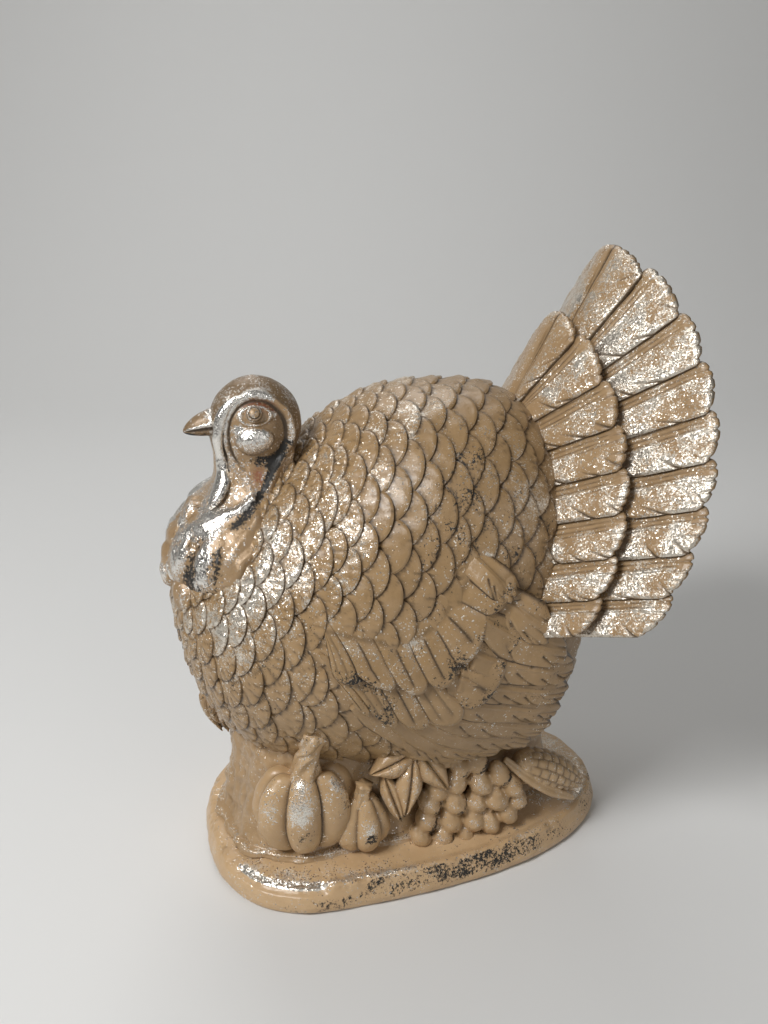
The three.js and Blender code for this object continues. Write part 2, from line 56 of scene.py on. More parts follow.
def smooth(value, low, high):
    """Share of the way from low to high, eased at both ends."""
    share = np.clip((value - low) / (high - low), 0.0, 1.0)
    return share * share * (3.0 - 2.0 * share)


def fading(value, low, high):
    """One up to low, easing away to nothing at high."""
    return 1.0 - smooth(value, low, high)


def between(value, low, full, last, high):
    """Share that eases in from low to full and out again from last to high."""
    return smooth(value, low, full) * fading(value, last, high)


def bell(value, at, wide):
    """One at a place, dying away on both sides of it over the given width."""
    return np.exp(-(((value - at) / wide) ** 2))


def ring_grid(places, around):
    """Grids of the place along and the turn round, for a stack of rings of so many points."""
    return np.meshgrid(places, np.linspace(0, 2 * np.pi, around, endpoint=False), indexing="ij")


def plinth_reach(turn, inset):
    """Distance from the plinth's widest place to its outline, moved in by inset."""
    c, s = np.cos(turn), np.sin(turn)
    power = np.where(s < 0, np.where(c > 0, 2.7, 2.0), 2.4)
    length = np.where(s < 0, PLINTH_FRONT, PLINTH_REAR) - inset
    across = np.abs(c / (PLINTH_HALF_WIDTH - inset)) ** power
    return (across + np.abs(s / length) ** power) ** (-1.0 / power)


def lumps(points, size, seed, depth=2):
    """Uneven swelling of a hand-worked surface, from about -1 to 1, with lumps of the given size in mm."""
    shift = Vector((seed * 7.3, seed * 3.1, seed * 5.7))
    flat = points.reshape(-1, 3) / size
    swell = [noise.fractal(Vector(p) + shift, 0.8, 2.1, depth) for p in flat]
    return np.array(swell).reshape(points.shape[:-1])


def sheet(rows, columns, ring=False):
    """Four-sided faces over a grid of points; a ring joins its last column to its first."""
    r = np.arange(rows - 1)[:, None]
    c = np.arange(columns if ring else columns - 1)[None, :]
    a = r * columns + c
    b = r * columns + (c + 1) % columns
    return np.stack([a, b, b + columns, a + columns], -1).reshape(-1, 4)


def ring_skin(rings):
    """Closed skin over a stack of rings, with a point at each end."""
    rows, columns, _ = rings.shape
    points = np.concatenate([rings.reshape(-1, 3), rings[:1].mean(1), rings[-1:].mean(1)])
    faces = sheet(rows, columns, True).tolist()
    first, last = rows * columns, rows * columns + 1
    top = (rows - 1) * columns
    for c in range(columns):
        d = (c + 1) % columns
        faces.append((first, d, c))
        faces.append((last, top + c, top + d))
    return points, faces


def capped(values):
    """Ring values with the two end points' values added."""
    return np.concatenate([values.reshape(-1), values[:1].mean(1), values[-1:].mean(1)])


def hollows(mesh, reach):
    """How far each point lies below the points around it, in mm."""
    count = len(mesh.vertices)
    ends = np.empty(2 * len(mesh.edges), np.int32)
    mesh.edges.foreach_get("vertices", ends)
    a, b = ends[0::2], ends[1::2]
    points = np.empty(3 * count)
    mesh.vertices.foreach_get("co", points)
    points = points.reshape(-1, 3) / MM
    facing = np.empty(3 * count, np.float32)
    mesh.vertex_normals.foreach_get("vector", facing)
    share = np.maximum(np.bincount(a, minlength=count) + np.bincount(b, minlength=count), 1)
    soft = points.copy()
    for _ in range(reach):
        for axis in range(3):
            along = soft[:, axis]
            total = np.bincount(a, along[b], count) + np.bincount(b, along[a], count)
            soft[:, axis] = total / share
    return ((soft - points) * facing.reshape(-1, 3)).sum(1)


def cast_piece(
    name, points, faces, nodes, finish, wash_and_shade=0.0, leaf=0.3, wear=0.3, rust=0.0, crevice=(0, 0.0),
):
    """One cast piece from points in mm, with the shares of brown wash and painted shade, leaf, wear and rust
    for its finish.
    """
    mesh = bpy.data.meshes.new(name)
    mesh.from_pydata((points * MM).tolist(), [], faces if isinstance(faces, list) else faces.tolist())
    shell = bmesh.new()
    shell.from_mesh(mesh)
    bmesh.ops.recalc_face_normals(shell, faces=shell.faces)
    shell.to_mesh(mesh)
    shell.free()
    mesh.shade_smooth()
    wash_and_shade = np.broadcast_to(wash_and_shade, (len(points),)).astype(float)
    reach, strength = crevice
    if reach:
        wash_and_shade = wash_and_shade + strength * np.maximum(hollows(mesh, reach), 0.0)
    shares = {"wash_and_shade": np.clip(wash_and_shade, 0.0, 1.0), "leaf": leaf, "wear": wear, "rust": rust}
    for key, share in shares.items():
        layer = mesh.attributes.new(key, "FLOAT", "POINT")
        layer.data.foreach_set("value", np.broadcast_to(share, (len(points),)).astype(np.float32))
    piece = bpy.data.objects.new(name, mesh)
    bpy.context.collection.objects.link(piece)
    mesh.materials.append(finish)
    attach(piece, "root")
    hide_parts(*nodes)


def leafed_paint(
    name, tan, pale, brown, silver, paint_rough=0.3, leaf_rough=0.27, paint_metal=0.0, tilt=0.45, crinkle=0.4,
):
    """Satin paint with brown wash in the hollows and painted shade under covering edges, flakes of silver
    leaf over it and black wear.
    """
    finish = bpy.data.materials.new(name)
    finish.use_nodes = True
    nodes, links = finish.node_tree.nodes, finish.node_tree.links
    shader = nodes["Principled BSDF"]
    place = nodes.new("ShaderNodeTexCoord").outputs["Object"]

    def share(key):
        node = nodes.new("ShaderNodeAttribute")
        node.attribute_name = key
        return node.outputs["Fac"]

    def speckle(scale, detail, roughness):
        node = nodes.new("ShaderNodeTexNoise")
        links.new(place, node.inputs["Vector"])
        node.inputs["Scale"].default_value = scale
        node.inputs["Detail"].default_value = detail
        node.inputs["Roughness"].default_value = roughness
        return node.outputs["Fac"]

    def join(kind, operation, *values):
        node = nodes.new(kind)
        node.operation = operation
        for socket, value in zip(node.inputs, values):
            if isinstance(value, (float, tuple)):
                socket.default_value = value
            else:
                links.new(value, socket)
        return node

    def sum_of(*values):
        total = values[0]
        for value in values[1:]:
            total = join("ShaderNodeMath", "ADD", total, value).outputs[0]
        return total

    def part_of(a, b):
        return join("ShaderNodeMath", "MULTIPLY", a, b).outputs[0]

    def most_of(a, b):
        return join("ShaderNodeMath", "MAXIMUM", a, b).outputs[0]

    def edge(value, low, high, start=0.0, end=1.0):
        node = nodes.new("ShaderNodeMapRange")
        node.interpolation_type = "SMOOTHSTEP"
        links.new(value, node.inputs["Value"])
        for key, number in (("From Min", low), ("From Max", high), ("To Min", start), ("To Max", end)):
            node.inputs[key].default_value = number
        return node.outputs["Result"]

    def over(under, upper, cover, kind="RGBA"):
        node = nodes.new("ShaderNodeMix")
        node.data_type = kind
        links.new(cover, node.inputs[0])
        first = 6 if kind == "RGBA" else 2
        for socket, value in ((node.inputs[first], under), (node.inputs[first + 1], upper)):
            if isinstance(value, float):
                socket.default_value = value
            elif isinstance(value, tuple):
                socket.default_value = (*value, 1.0)
            else:
                links.new(value, socket)
        return node.outputs[2 if kind == "RGBA" else 0]

    patch = speckle(95.0, 4.0, 0.65)
    grain = speckle(1000.0, 3.0, 0.7)
    flake = speckle(640.0, 6.0, 0.8)
    drift = speckle(130.0, 2.0, 0.5)
    cells = nodes.new("ShaderNodeTexVoronoi")
    cells.inputs["Scale"].default_value = 1700.0
    links.new(place, cells.inputs["Vector"])
    lots = nodes.new("ShaderNodeSeparateColor")
    links.new(cells.outputs["Color"], lots.inputs["Color"])
    spread = sum_of(share("leaf"), part_of(patch, 0.75), part_of(grain, 0.4))
    leafed = edge(sum_of(spread, part_of(lots.outputs["Red"], 0.14)), 1.06, 1.26)
    glints = edge(sum_of(part_of(spread, 0.7), lots.outputs["Green"]), 1.55, 1.59)
    leafed = most_of(leafed, glints)
    worn = sum_of(share("wear"), part_of(flake, 0.68), part_of(grain, 0.3), part_of(drift, 0.28))
    worn = edge(worn, 1.105, 1.145)
    # This share lays brown over the paint: real brown wash in cuts and hollows, and painted shade under
    # covering edges, in steps and in gaps.
    wash_and_shade_cover = edge(part_of(share("wash_and_shade"), edge(grain, 0.25, 0.6, 0.75, 1.1)), 0.0, 1.0)

    colour = over(tan, pale, edge(patch, 0.35, 0.65))
    colour = over(colour, RUST, part_of(share("rust"), edge(grain, 0.36, 0.56)))
    colour = over(colour, brown, wash_and_shade_cover)
    kept = edge(wash_and_shade_cover, 0.25, 0.9, 1.0, 0.0)
    bare = part_of(leafed, kept)
    colour = over(colour, silver, bare)
    colour = over(colour, BLACK, worn)
    links.new(colour, shader.inputs["Base Color"])
    bare = part_of(bare, edge(worn, 0.0, 0.6, 1.0, 0.0))
    links.new(over(paint_metal, 0.95, bare, "FLOAT"), shader.inputs["Metallic"])
    rough = over(paint_rough, leaf_rough, bare, "FLOAT")
    links.new(over(rough, 0.55, most_of(worn, part_of(wash_and_shade_cover, 0.6)), "FLOAT"), shader.inputs["Roughness"])
    shader.inputs["Coat Weight"].default_value = 0.10
    shader.inputs["Coat Roughness"].default_value = 0.2

    facing = nodes.new("ShaderNodeNewGeometry").outputs["Normal"]
    lean = join("ShaderNodeVectorMath", "SUBTRACT", cells.outputs["Color"], (0.5, 0.5, 0.5)).outputs[0]
    scaled = join("ShaderNodeVectorMath", "SCALE", lean)
    links.new(part_of(bare, tilt), scaled.inputs["Scale"])
    leaning = join("ShaderNodeVectorMath", "ADD", facing, scaled.outputs[0]).outputs[0]
    leaning = join("ShaderNodeVectorMath", "NORMALIZE", leaning).outputs[0]
    bump = nodes.new("ShaderNodeBump")
    bump.inputs["Strength"].default_value = crinkle
    bump.inputs["Distance"].default_value = 0.0005
    links.new(sum_of(part_of(grain, 0.6), part_of(leafed, 0.3), part_of(flake, 0.35)), bump.inputs["Height"])
    links.new(leaning, bump.inputs["Normal"])
    links.new(bump.outputs["Normal"], shader.inputs["Normal"])
    return finish


plinth_paint = leafed_paint(
    "plinth_paint", (0.51, 0.34, 0.183), (0.56, 0.385, 0.217), (0.10, 0.063, 0.03), (0.77, 0.72, 0.64),
)
steps = np.linspace(0, len(PLINTH_PROFILE) - 1, 80)
heights, insets = (np.interp(steps, np.arange(len(PLINTH_PROFILE)), PLINTH_PROFILE[:, k]) for k in (0, 1))
height, turn = ring_grid(heights, 440)
inset, _ = ring_grid(insets, 440)
degrees = (np.degrees(turn) + 180.0) % 360.0 - 180.0
rim = smooth(height, 9.0, 12.0) * fading(inset, 4.0, 9.0)
step_up = between(degrees, -14.0, -8.0, 80.0, 95.0)
front_lip = between(degrees, -62.0, -48.0, -14.0, -8.0)
reach = plinth_reach(turn, inset)
plinth = np.stack([reach * np.cos(turn), PLINTH_WIDEST_Y + reach * np.sin(turn), height], -1)
swell = lumps(plinth * np.array([1.0, 1.0, 1.6]), 26.0, 1, 3)
facets = lumps(plinth * np.array([1.0, 1.0, 0.35]), 13.0, 3, 2)
chips = np.maximum(lumps(plinth, 6.0, 2, 3), 0.0) * rim
outward = np.stack([np.cos(turn), np.sin(turn), np.zeros_like(turn)], -1)
firm = smooth(height, 0.4, 3.0)
dish = bell(inset, 9.0, 4.5) * front_lip
plinth += outward * (firm * (0.8 * swell + 0.5 * facets - 0.9 * chips - 1.6 * rim * front_lip))[..., None]
plinth[..., 2] += firm * (0.5 * swell * smooth(height, 6.0, 12.0) - 0.7 * chips)
plinth[..., 2] += firm * (1.5 * rim * step_up - 1.0 * rim * front_lip - 0.9 * dish)
points, faces = ring_skin(plinth)
side = smooth(height, 0.8, 2.6) * fading(inset, 2.4, 4.4)
near_side = between(degrees, -6.0, 16.0, 78.0, 104.0)
wear = 0.315 + 0.19 * side * near_side * smooth(height, 1.0, 8.0) * (1.0 - 0.45 * smooth(degrees, 50.0, 75.0))
wear += 0.13 * side * between(degrees, -34.0, -22.0, -4.0, 8.0) * fading(height, 7.0, 11.0)
wear += 0.05 * lumps(plinth, 22.0, 5) * (0.4 + side)
crest = bell(inset, 4.2, 2.4) * smooth(height, 11.5, 12.5)
leaf = 0.25 + 0.62 * crest * between(degrees, -56.0, -44.0, -16.0, -9.0)
leaf += 0.17 * between(inset, 3.0, 5.0, 10.0, 18.0) * between(degrees, -80.0, -50.0, 4.0, 40.0)
leaf += 0.16 * crest * step_up
leaf += 0.16 * between(degrees, 66.0, 76.0, 96.0, 106.0) * smooth(inset, 3.0, 6.0)
cast_piece(
    "base_plinth_cast", points, faces, ["base_plinth"], plinth_paint,
    wash_and_shade=capped(0.30 * chips), leaf=capped(leaf), wear=capped(wear), crevice=(6, 0.8),
)

# Earth mound: the steep rocky bank between the plinth and the belly, cast in one with the figure.
# Hand-tooled resin in the same tan paint, with brown wash in its hollows and a thin ledge round its foot.
MOUND_ROWS = np.array([  # height and inset from the plinth's outline
    [15.8, 24.5], [17.3, 25.4], [22.0, 26.4], [28.0, 27.0], [44.0, 28.0], [62.0, 30.0], [74.0, 36.0],
])
MOUND_FRONT_SHARE = 0.55
mound_paint = leafed_paint(
    "mound_paint", (0.36, 0.235, 0.12), (0.41, 0.272, 0.145), (0.085, 0.053, 0.025), (0.75, 0.70, 0.62),
)
heights = np.concatenate([np.linspace(15.4, 20.0, 26), np.linspace(20.8, 74.0, 64)])
height, turn = ring_grid(heights, 360)
inset = np.interp(height, MOUND_ROWS[:, 0], MOUND_ROWS[:, 1])
inset *= 1.0 + (MOUND_FRONT_SHARE - 1.0) * np.maximum(0.0, -np.sin(turn)) ** 2
reach = plinth_reach(turn, inset)
mound = np.stack([reach * np.cos(turn), PLINTH_WIDEST_Y + reach * np.sin(turn), height], -1)
outward = np.stack([np.cos(turn), np.sin(turn), np.zeros_like(turn)], -1)
rocks = lumps(mound * np.array([1.0, 1.0, 0.8]), 17.0, 4, 3)
front = smooth(-np.sin(turn), 0.05, 0.6)
shore = lumps(np.stack([14.0 * np.cos(turn), 14.0 * np.sin(turn), 0.0 * turn], -1), 5.0, 6, 2)
mound += outward * ((1.0 + 2.6 * front) * rocks + 0.7 * lumps(mound, 6.0, 7, 2) - 0.6)[..., None]
ledge = fading(height, 17.8, 19.6)
mound += outward * ((3.0 + 1.3 * shore) * ledge + 2.0 * fading(height, 18.0, 27.0))[..., None]
mound += outward * (4.0 * front * fading(height, 20.0, 50.0))[..., None]
points, faces = ring_skin(mound)
cast_piece(
    "ground_mound_cast", points, faces, ["ground_mound"], mound_paint,
    wash_and_shade=0.05, leaf=capped(0.28 + 0.05 * rocks + 0.16 * bell(height, 18.2, 1.0)),
    wear=capped(0.325 + 0.07 * front * rocks), crevice=(9, 0.5),
)

# Pumpkins: on each bank a large ribbed pumpkin and a small gourd, modelled with their stalks.
# Resin cast with the mound in tan paint, washed brown in the creases, with silver and black on the swells.
HANDS = (("left", np.array([1.0, 1.0, 1.0])), ("right", np.array([-1.0, 1.0, 1.0])))
pumpkin_paint = leafed_paint(
    "pumpkin_paint", (0.45, 0.295, 0.153), (0.50, 0.34, 0.185), (0.085, 0.052, 0.025), (0.83, 0.79, 0.72),
    leaf_rough=0.22, tilt=0.35,
)


def unit(vectors):
    """Vectors scaled to a length of one."""
    return vectors / np.maximum(np.linalg.norm(vectors, axis=-1, keepdims=True), 1e-9)


def near(points, spots):
    """Strength of a rubbed patch at each point: spots are x, y, z, radius and strength."""
    total = np.zeros(points.shape[:-1])
    for x, y, z, radius, strength in spots:
        away = ((points - np.array([x, y, z])) ** 2).sum(-1)
        total += strength * np.exp(-away / (radius * radius))
    return total


def merge(parts):
    """Several closed skins as one list of points and faces."""
    points, faces, start = [], [], 0
    for skin, sides in parts:
        points.append(skin)
        sides = sides if isinstance(sides, list) else sides.tolist()
        faces += [tuple(start + i for i in side) for side in sides]
        start += len(skin)
    return np.concatenate(points), faces


def fruit(at, wide, deep, tall, ribs, pinch, crease, aim):
    """A ribbed fruit: aim turns its middle lobe from straight outward, and pinch narrows its shoulders."""
    polar, turn = ring_grid(np.linspace(0.03, np.pi - 0.03, 72), ribs * 26)
    beside = (np.degrees(turn) - aim + 180.0) % 360.0 - 180.0
    lobe = np.abs(np.cos(np.radians(ribs * beside / 2.0))) ** 0.55
    up = np.cos(polar)
    girth = np.sin(polar) ** 0.8 * (1.0 - pinch * smooth(up, -0.6, 0.9))
    depth = 1.0 - crease * (1.0 - lobe) * np.sin(polar) ** 0.4
    sunk = 0.16 * tall * bell(np.sin(polar), 0.0, 0.34) * np.sign(up)
    rings = np.stack([
        at[0] + deep * girth * depth * np.cos(turn),
        at[1] + wide * girth * depth * np.sin(turn),
        at[2] + tall / 2.0 * up * (0.90 + 0.10 * lobe) - sunk,
    ], -1)
    uneven = 1.1 * lumps(rings, 11.0, ribs) + 0.35 * lumps(rings, 3.5, ribs + 1)
    rings += uneven[..., None] * (rings - np.array(at)) / tall
    points, faces = ring_skin(rings)
    return points, faces, capped(1.0 - lobe), capped(bell(beside, 0.0, 115.0 / ribs))


def curve(table, places):
    """Smooth curve through a table's rows at places from 0 to 1."""
    table = np.asarray(table, float)
    last = len(table) - 1
    place = np.clip(places, 0.0, 1.0) * last
    i = np.minimum(place.astype(int), last - 1)
    u = (place - i)[..., None]
    a, b, d, e = (table[np.clip(i + k, 0, last)] for k in (-1, 0, 1, 2))
    bend, twist = 2 * a - 5 * b + 4 * d - e, 3 * b - a - 3 * d + e
    return 0.5 * (2 * b + (d - a) * u + bend * u ** 2 + twist * u ** 3)


def stalk(path, radii, around, along, ridges=0, ridge=0.0):
    """A tapering round stalk along a path, fluted by ridges."""
    places = np.linspace(0, 1, along)
    line = curve(path, places)
    radius = np.interp(places, np.linspace(0, 1, len(radii)), radii)
    ahead = unit(np.gradient(line, axis=0))
    first = unit(np.cross(ahead, np.array([0.31, 0.17, 0.93])))
    second = np.cross(ahead, first)
    turn = np.linspace(0, 2 * np.pi, around, endpoint=False)
    size = radius[:, None] * (1.0 + ridge * np.cos(ridges * turn)[None, :])
    rings = line[:, None] + size[..., None] * (
        np.cos(turn)[None, :, None] * first[:, None] + np.sin(turn)[None, :, None] * second[:, None]
    )
    return ring_skin(rings)


def cast_pumpkins(kind, flesh, stem, leaf, wear):
    """A pumpkin's left and right castings, each its flesh and stem in one, washed brown in the creases."""
    points, faces, crease, _ = flesh
    skin, sides = merge([(points, faces), stem])
    wash_and_shade = np.append(0.85 * crease ** 2.5, np.full(len(stem[0]), 0.08))
    for name, turned in HANDS:
        node = f"pumpkin_{kind}_{name}"
        cast_piece(
            f"{node}_cast", skin * turned, sides, [node], pumpkin_paint,
            wash_and_shade=wash_and_shade, leaf=leaf, wear=wear, crevice=(5, 0.35),
        )


flesh = fruit(
    at=(39.5, -57.5, 41.5), wide=26.0, deep=18.5, tall=49.0, ribs=7, pinch=0.05, crease=0.30, aim=-10.0,
)
stem = stalk(
    [[42, -58, 56], [45, -57.5, 68], [49, -56.5, 79], [54.5, -54.5, 88.5]], [8.6, 5.4, 4.6, 5.2],
    around=60, along=50, ridges=5, ridge=0.13,
)
points, _, _, middle = flesh
height, stem_height = points[:, 2], stem[0][:, 2]
silver = middle * smooth(height, 36.0, 46.0) + near(points, [(54, -76, 50, 7, 0.8), (52, -44, 57, 7, 0.8)])
black = middle * bell(height, 36.0, 6.0) + near(points, [(52, -38, 50, 8, 0.9), (50, -80, 40, 9, 0.5)])
cast_pumpkins(
    "large", flesh, stem,
    leaf=np.append(0.27 + 0.3 * silver, 0.36 + 0.14 * fading(stem_height, 56.0, 66.0)),
    wear=np.append(0.31 + 0.16 * black, 0.32 + 0.10 * smooth(stem_height, 70.0, 82.0)),
)

flesh = fruit(
    at=(46.0, -32.0, 32.0), wide=15.0, deep=12.0, tall=33.0, ribs=5, pinch=0.34, crease=0.30, aim=12.0,
)
stem = stalk(
    [[47, -32.5, 42], [47.5, -32, 46], [48, -31.5, 50], [48.5, -31, 53.5]], [4.8, 3.7, 3.3, 4.0],
    around=45, along=34, ridges=5, ridge=0.10,
)
points, _, _, middle = flesh
silver = near(points, [(57, -30, 33, 3.2, 1.0), (54, -43, 35, 3.4, 0.8)])
black = middle * between(points[:, 2], 24.0, 26.5, 29.5, 31.5)
cast_pumpkins(
    "small", flesh, stem,
    leaf=np.append(0.29 + 0.22 * silver, np.full(len(stem[0]), 0.33)),
    wear=np.append(0.31 + 0.19 * black, np.full(len(stem[0]), 0.31)),
)

# Leaf sprigs: on each bank four folded leaves that fan out from a knot, modelled in relief.
# Resin cast with the mound in tan paint, with brown wash in the veins and a little silver and black.
LEAF_THICK = 4.0
LEAVES = [  # root, tip, outward direction, half width, arch and seed
    ((50, -7, 68), (51.5, -29, 60), (0.93, -0.1, 0.35), 7.2, 1.5, 1),
    ((50.5, -8, 66), (56, -13.5, 36.5), (0.96, 0.0, 0.25), 6.2, 2.2, 2),
    ((50.5, -5, 67.5), (53.5, 8.5, 46.0), (0.95, 0.1, 0.3), 6.6, 2.0, 3),
    ((50.5, -22, 57.5), (55.5, -14.5, 33.0), (0.96, -0.1, 0.25), 4.6, 1.0, 5),
]
leaf_paint = leafed_paint(
    "leaf_paint", (0.43, 0.282, 0.145), (0.48, 0.322, 0.175), (0.08, 0.05, 0.024), (0.82, 0.77, 0.70),
)


def edge_loop(rows, columns):
    """Order of a grid's points once round its edge."""
    index = np.arange(rows * columns).reshape(rows, columns)
    return np.concatenate([index[0], index[1:, -1], index[-1, -2::-1], index[-2:0:-1, 0]])


def slab(front, back):
    """Closed slab between a front and a back grid of the same size."""
    rows, columns, _ = front.shape
    size = rows * columns
    loop = edge_loop(rows, columns)
    turned = np.roll(loop, -1)
    walls = np.stack([loop, loop + size, turned + size, turned], -1)
    faces = np.concatenate([sheet(rows, columns), sheet(rows, columns)[:, ::-1] + size, walls])
    return np.concatenate([front.reshape(-1, 3), back.reshape(-1, 3)]), faces


def leaf_blade(root, tip, outward, width, arch, seed):
    """A folded leaf: two swelling halves beside a sunk middle vein, with side veins, lying on the bank."""
    root, tip, outward = (np.array(v, float) for v in (root, tip, outward))
    along, across = np.meshgrid(np.linspace(0, 1, 44), np.linspace(-1, 1, 33), indexing="ij")
    beside = np.abs(across)
    line = tip - root
    sideways = np.cross(unit(line), outward)
    half = width * np.sin(np.pi * along ** 0.85) ** 0.8 * (1.0 + 0.06 * np.sin(11 * along + seed))
    half = np.maximum(half, 0.25)
    swell = 2.0 * np.sin(np.pi * beside ** 0.8) * np.sin(np.pi * along) ** 0.5
    vein = 0.9 * bell(beside * half, 0.0, 0.6)
    ribs = np.maximum(0, np.cos(2 * np.pi * (5.5 * along - 1.5 * beside))) ** 3
    rise = arch * np.sin(np.pi * along) + swell - vein
    rise = rise + 0.32 * np.sin(np.pi * beside) * ribs - 2.2 * beside ** 3
    front = root + along[..., None] * line + (across * half)[..., None] * sideways + rise[..., None] * outward
    points, faces = slab(front, front - LEAF_THICK * outward)
    dark = bell(across * half, 0.0, 0.55) + beside ** 10
    return points, faces, np.append(dark.reshape(-1), np.ones(dark.size))


blades = [leaf_blade(*row) for row in LEAVES]
knot = stalk(
    [[46, -11, 71], [51, -8, 70.5], [52.5, -3, 68], [51.5, 1, 65]], [2.6, 4.4, 3.6, 1.6], around=24, along=24,
)
skin, sides = merge([blade[:2] for blade in blades] + [knot])
dark = np.append(np.concatenate([blade[2] for blade in blades]), np.full(len(knot[0]), 0.1))
silver = near(skin, [(53, -20, 48, 6, 0.12), (52, -6, 67, 5, 0.08), (54, -14, 62, 6, 0.06)])
black = near(skin, [(56, -12, 39, 5, 0.14), (56, -15, 34, 4, 0.12)])
for name, turned in HANDS:
    cast_piece(
        f"leaf_sprig_{name}_cast", skin * turned, sides, [f"leaf_sprig_{name}"], leaf_paint,
        wash_and_shade=0.35 * dark, leaf=0.29 + silver, wear=0.30 + black, crevice=(4, 0.35),
    )

# Grapes: on each bank a bunch of plump berries, modelled in clay so that neighbours melt together.
# Resin cast with the mound in tan paint, with brown wash between the berries and black painted shade on their
# undersides.
GRAPES = np.array([  # y, height and radius of each berry
    [7, 61.5, 5.6], [15.5, 55, 5.4], [24, 56, 5.8], [36, 47, 5.8], [13.5, 47, 5.9], [26, 44.5, 6.0],
    [4.5, 44, 5.4], [1, 37, 5.8], [43, 39, 5.6], [13.5, 35.5, 6.3], [24.5, 33.5, 5.6], [34.5, 34, 6.2],
    [46.5, 30, 5.0], [-0.5, 27.5, 5.6], [11.5, 25, 6.2], [23, 24, 5.8], [40.5, 24, 5.6], [31.5, 20.5, 5.6],
    [-4, 19, 5.2], [8, 16.5, 5.4], [19, 15.5, 4.8],
])
GRAPES_OUT = 49.0
grape_paint = leafed_paint(
    "grape_paint", (0.44, 0.288, 0.148), (0.49, 0.33, 0.18), (0.08, 0.05, 0.024), (0.82, 0.77, 0.70),
)


def fuse(skins, grain, rounds):
    """Points, faces and outward directions of several closed skins, melted into one and relaxed."""
    points, faces = merge(skins)
    clay = bpy.data.meshes.new("clay")
    clay.from_pydata((MM * points).tolist(), [], faces)
    lump = bpy.data.objects.new("clay", clay)
    bpy.context.collection.objects.link(lump)
    melt = lump.modifiers.new("melt", "REMESH")
    melt.mode = "VOXEL"
    melt.voxel_size = MM * grain
    relax = lump.modifiers.new("relax", "SMOOTH")
    relax.iterations = rounds
    relax.factor = 0.5
    melted = bpy.data.meshes.new_from_object(lump.evaluated_get(bpy.context.evaluated_depsgraph_get()))
    points = np.empty(3 * len(melted.vertices))
    normals = np.empty(3 * len(melted.vertices), np.float32)
    melted.vertices.foreach_get("co", points)
    melted.vertex_normals.foreach_get("vector", normals)
    faces = [tuple(side.vertices) for side in melted.polygons]
    bpy.data.objects.remove(lump)
    bpy.data.meshes.remove(melted)
    bpy.data.meshes.remove(clay)
    return points.reshape(-1, 3) / MM, faces, normals.reshape(-1, 3)


random = np.random.default_rng(11)
polar, turn = ring_grid(np.linspace(0.05, np.pi - 0.05, 22), 28)
berries = []
for y, z, size in GRAPES:
    girth = size * np.sin(polar) * (1.0 - 0.24 * np.cos(polar))
    lean = random.normal(0.0, 0.8, 2)
    rings = np.stack([
        GRAPES_OUT - 0.04 * z + 1.05 * girth * np.cos(turn) + 0.6 * lean[0],
        y + 0.95 * girth * np.sin(turn) - (1.4 + 0.5 * lean[1]) * np.cos(polar),
        z + 1.22 * size * np.cos(polar),
    ], -1)
    uneven = lumps(rings, 5.0, len(berries) % 5)
    berries.append(ring_skin(rings + 0.5 * uneven[..., None] * np.array([1.0, 0.6, 0.6])))
grapes, grape_faces, grape_out = fuse(berries, 0.7, 4)
grapes += 0.25 * lumps(grapes, 3.0, 6)[:, None] * grape_out
away = np.hypot(grapes[:, 1, None] - GRAPES[:, 0], grapes[:, 2, None] - GRAPES[:, 1])
nearest = np.argmin(away / GRAPES[:, 2], 1)
off_y, off_z = ((grapes[:, k] - GRAPES[nearest, k - 1]) / GRAPES[nearest, 2] for k in (1, 2))
lots = random.uniform(0.0, 1.0, len(GRAPES))[nearest]
# The black on each berry's lower side is painted shade.
underside_shade = smooth(0.75 * off_y - 0.8 * off_z, 0.15, 0.75) * smooth(grape_out[:, 0], 0.1, 0.4)
above = bell(off_y, -0.2, 0.42) * bell(off_z, 0.2, 0.42)
for name, turned in HANDS:
    node = f"grape_cluster_{name}"
    cast_piece(
        f"{node}_cast", grapes * turned, grape_faces, [node], grape_paint,
        leaf=0.28 + 0.11 * above, wear=0.315 + 0.2 * underside_shade * smooth(lots, 0.1, 0.6), crevice=(9, 0.75),
    )

# Corn: on each bank an ear with ranks of kernels and a thin ridge of husk, lying down the rear slope.
# Resin cast with the mound in tan paint, with brown wash between the kernels.
CORN_ROOT = np.array([45.0, 45.0, 50.5])
CORN_TIP = np.array([36.5, 85.0, 25.0])
CORN_RADIUS = 10.4
CORN_RANKS = 12
CORN_KERNELS = 8.5
KERNEL_DEEP = 1.15
corn_paint = leafed_paint(
    "corn_paint", (0.44, 0.292, 0.153), (0.50, 0.342, 0.19), (0.09, 0.056, 0.027), (0.80, 0.75, 0.68),
    paint_rough=0.34,
)
ahead = unit(CORN_TIP - CORN_ROOT)
outward = np.array([0.93, 0.05, 0.36])
outward = unit(outward - ahead * (outward @ ahead))
sideways = np.cross(ahead, outward)
along, turn = ring_grid(np.linspace(0.01, 0.99, 120), 192)
rank = CORN_RANKS * turn / (2 * np.pi) + 0.25 * np.sin(5.0 * along)
kernel = np.abs(np.sin(np.pi * rank)) ** 0.6
kernel = kernel * np.abs(np.sin(np.pi * (CORN_KERNELS * along + 0.5 * (np.floor(rank) % 2)))) ** 0.6
filled = smooth(along, 0.02, 0.2)
size = CORN_RADIUS * np.sin(np.pi * along ** 0.8) ** 0.5 - KERNEL_DEEP * (1.0 - kernel) * filled
rings = CORN_ROOT + along[..., None] * (CORN_TIP - CORN_ROOT) + size[..., None] * (
    np.cos(turn)[..., None] * outward + np.sin(turn)[..., None] * sideways
)
rings += 0.5 * lumps(rings, 7.0, 3)[..., None] * outward
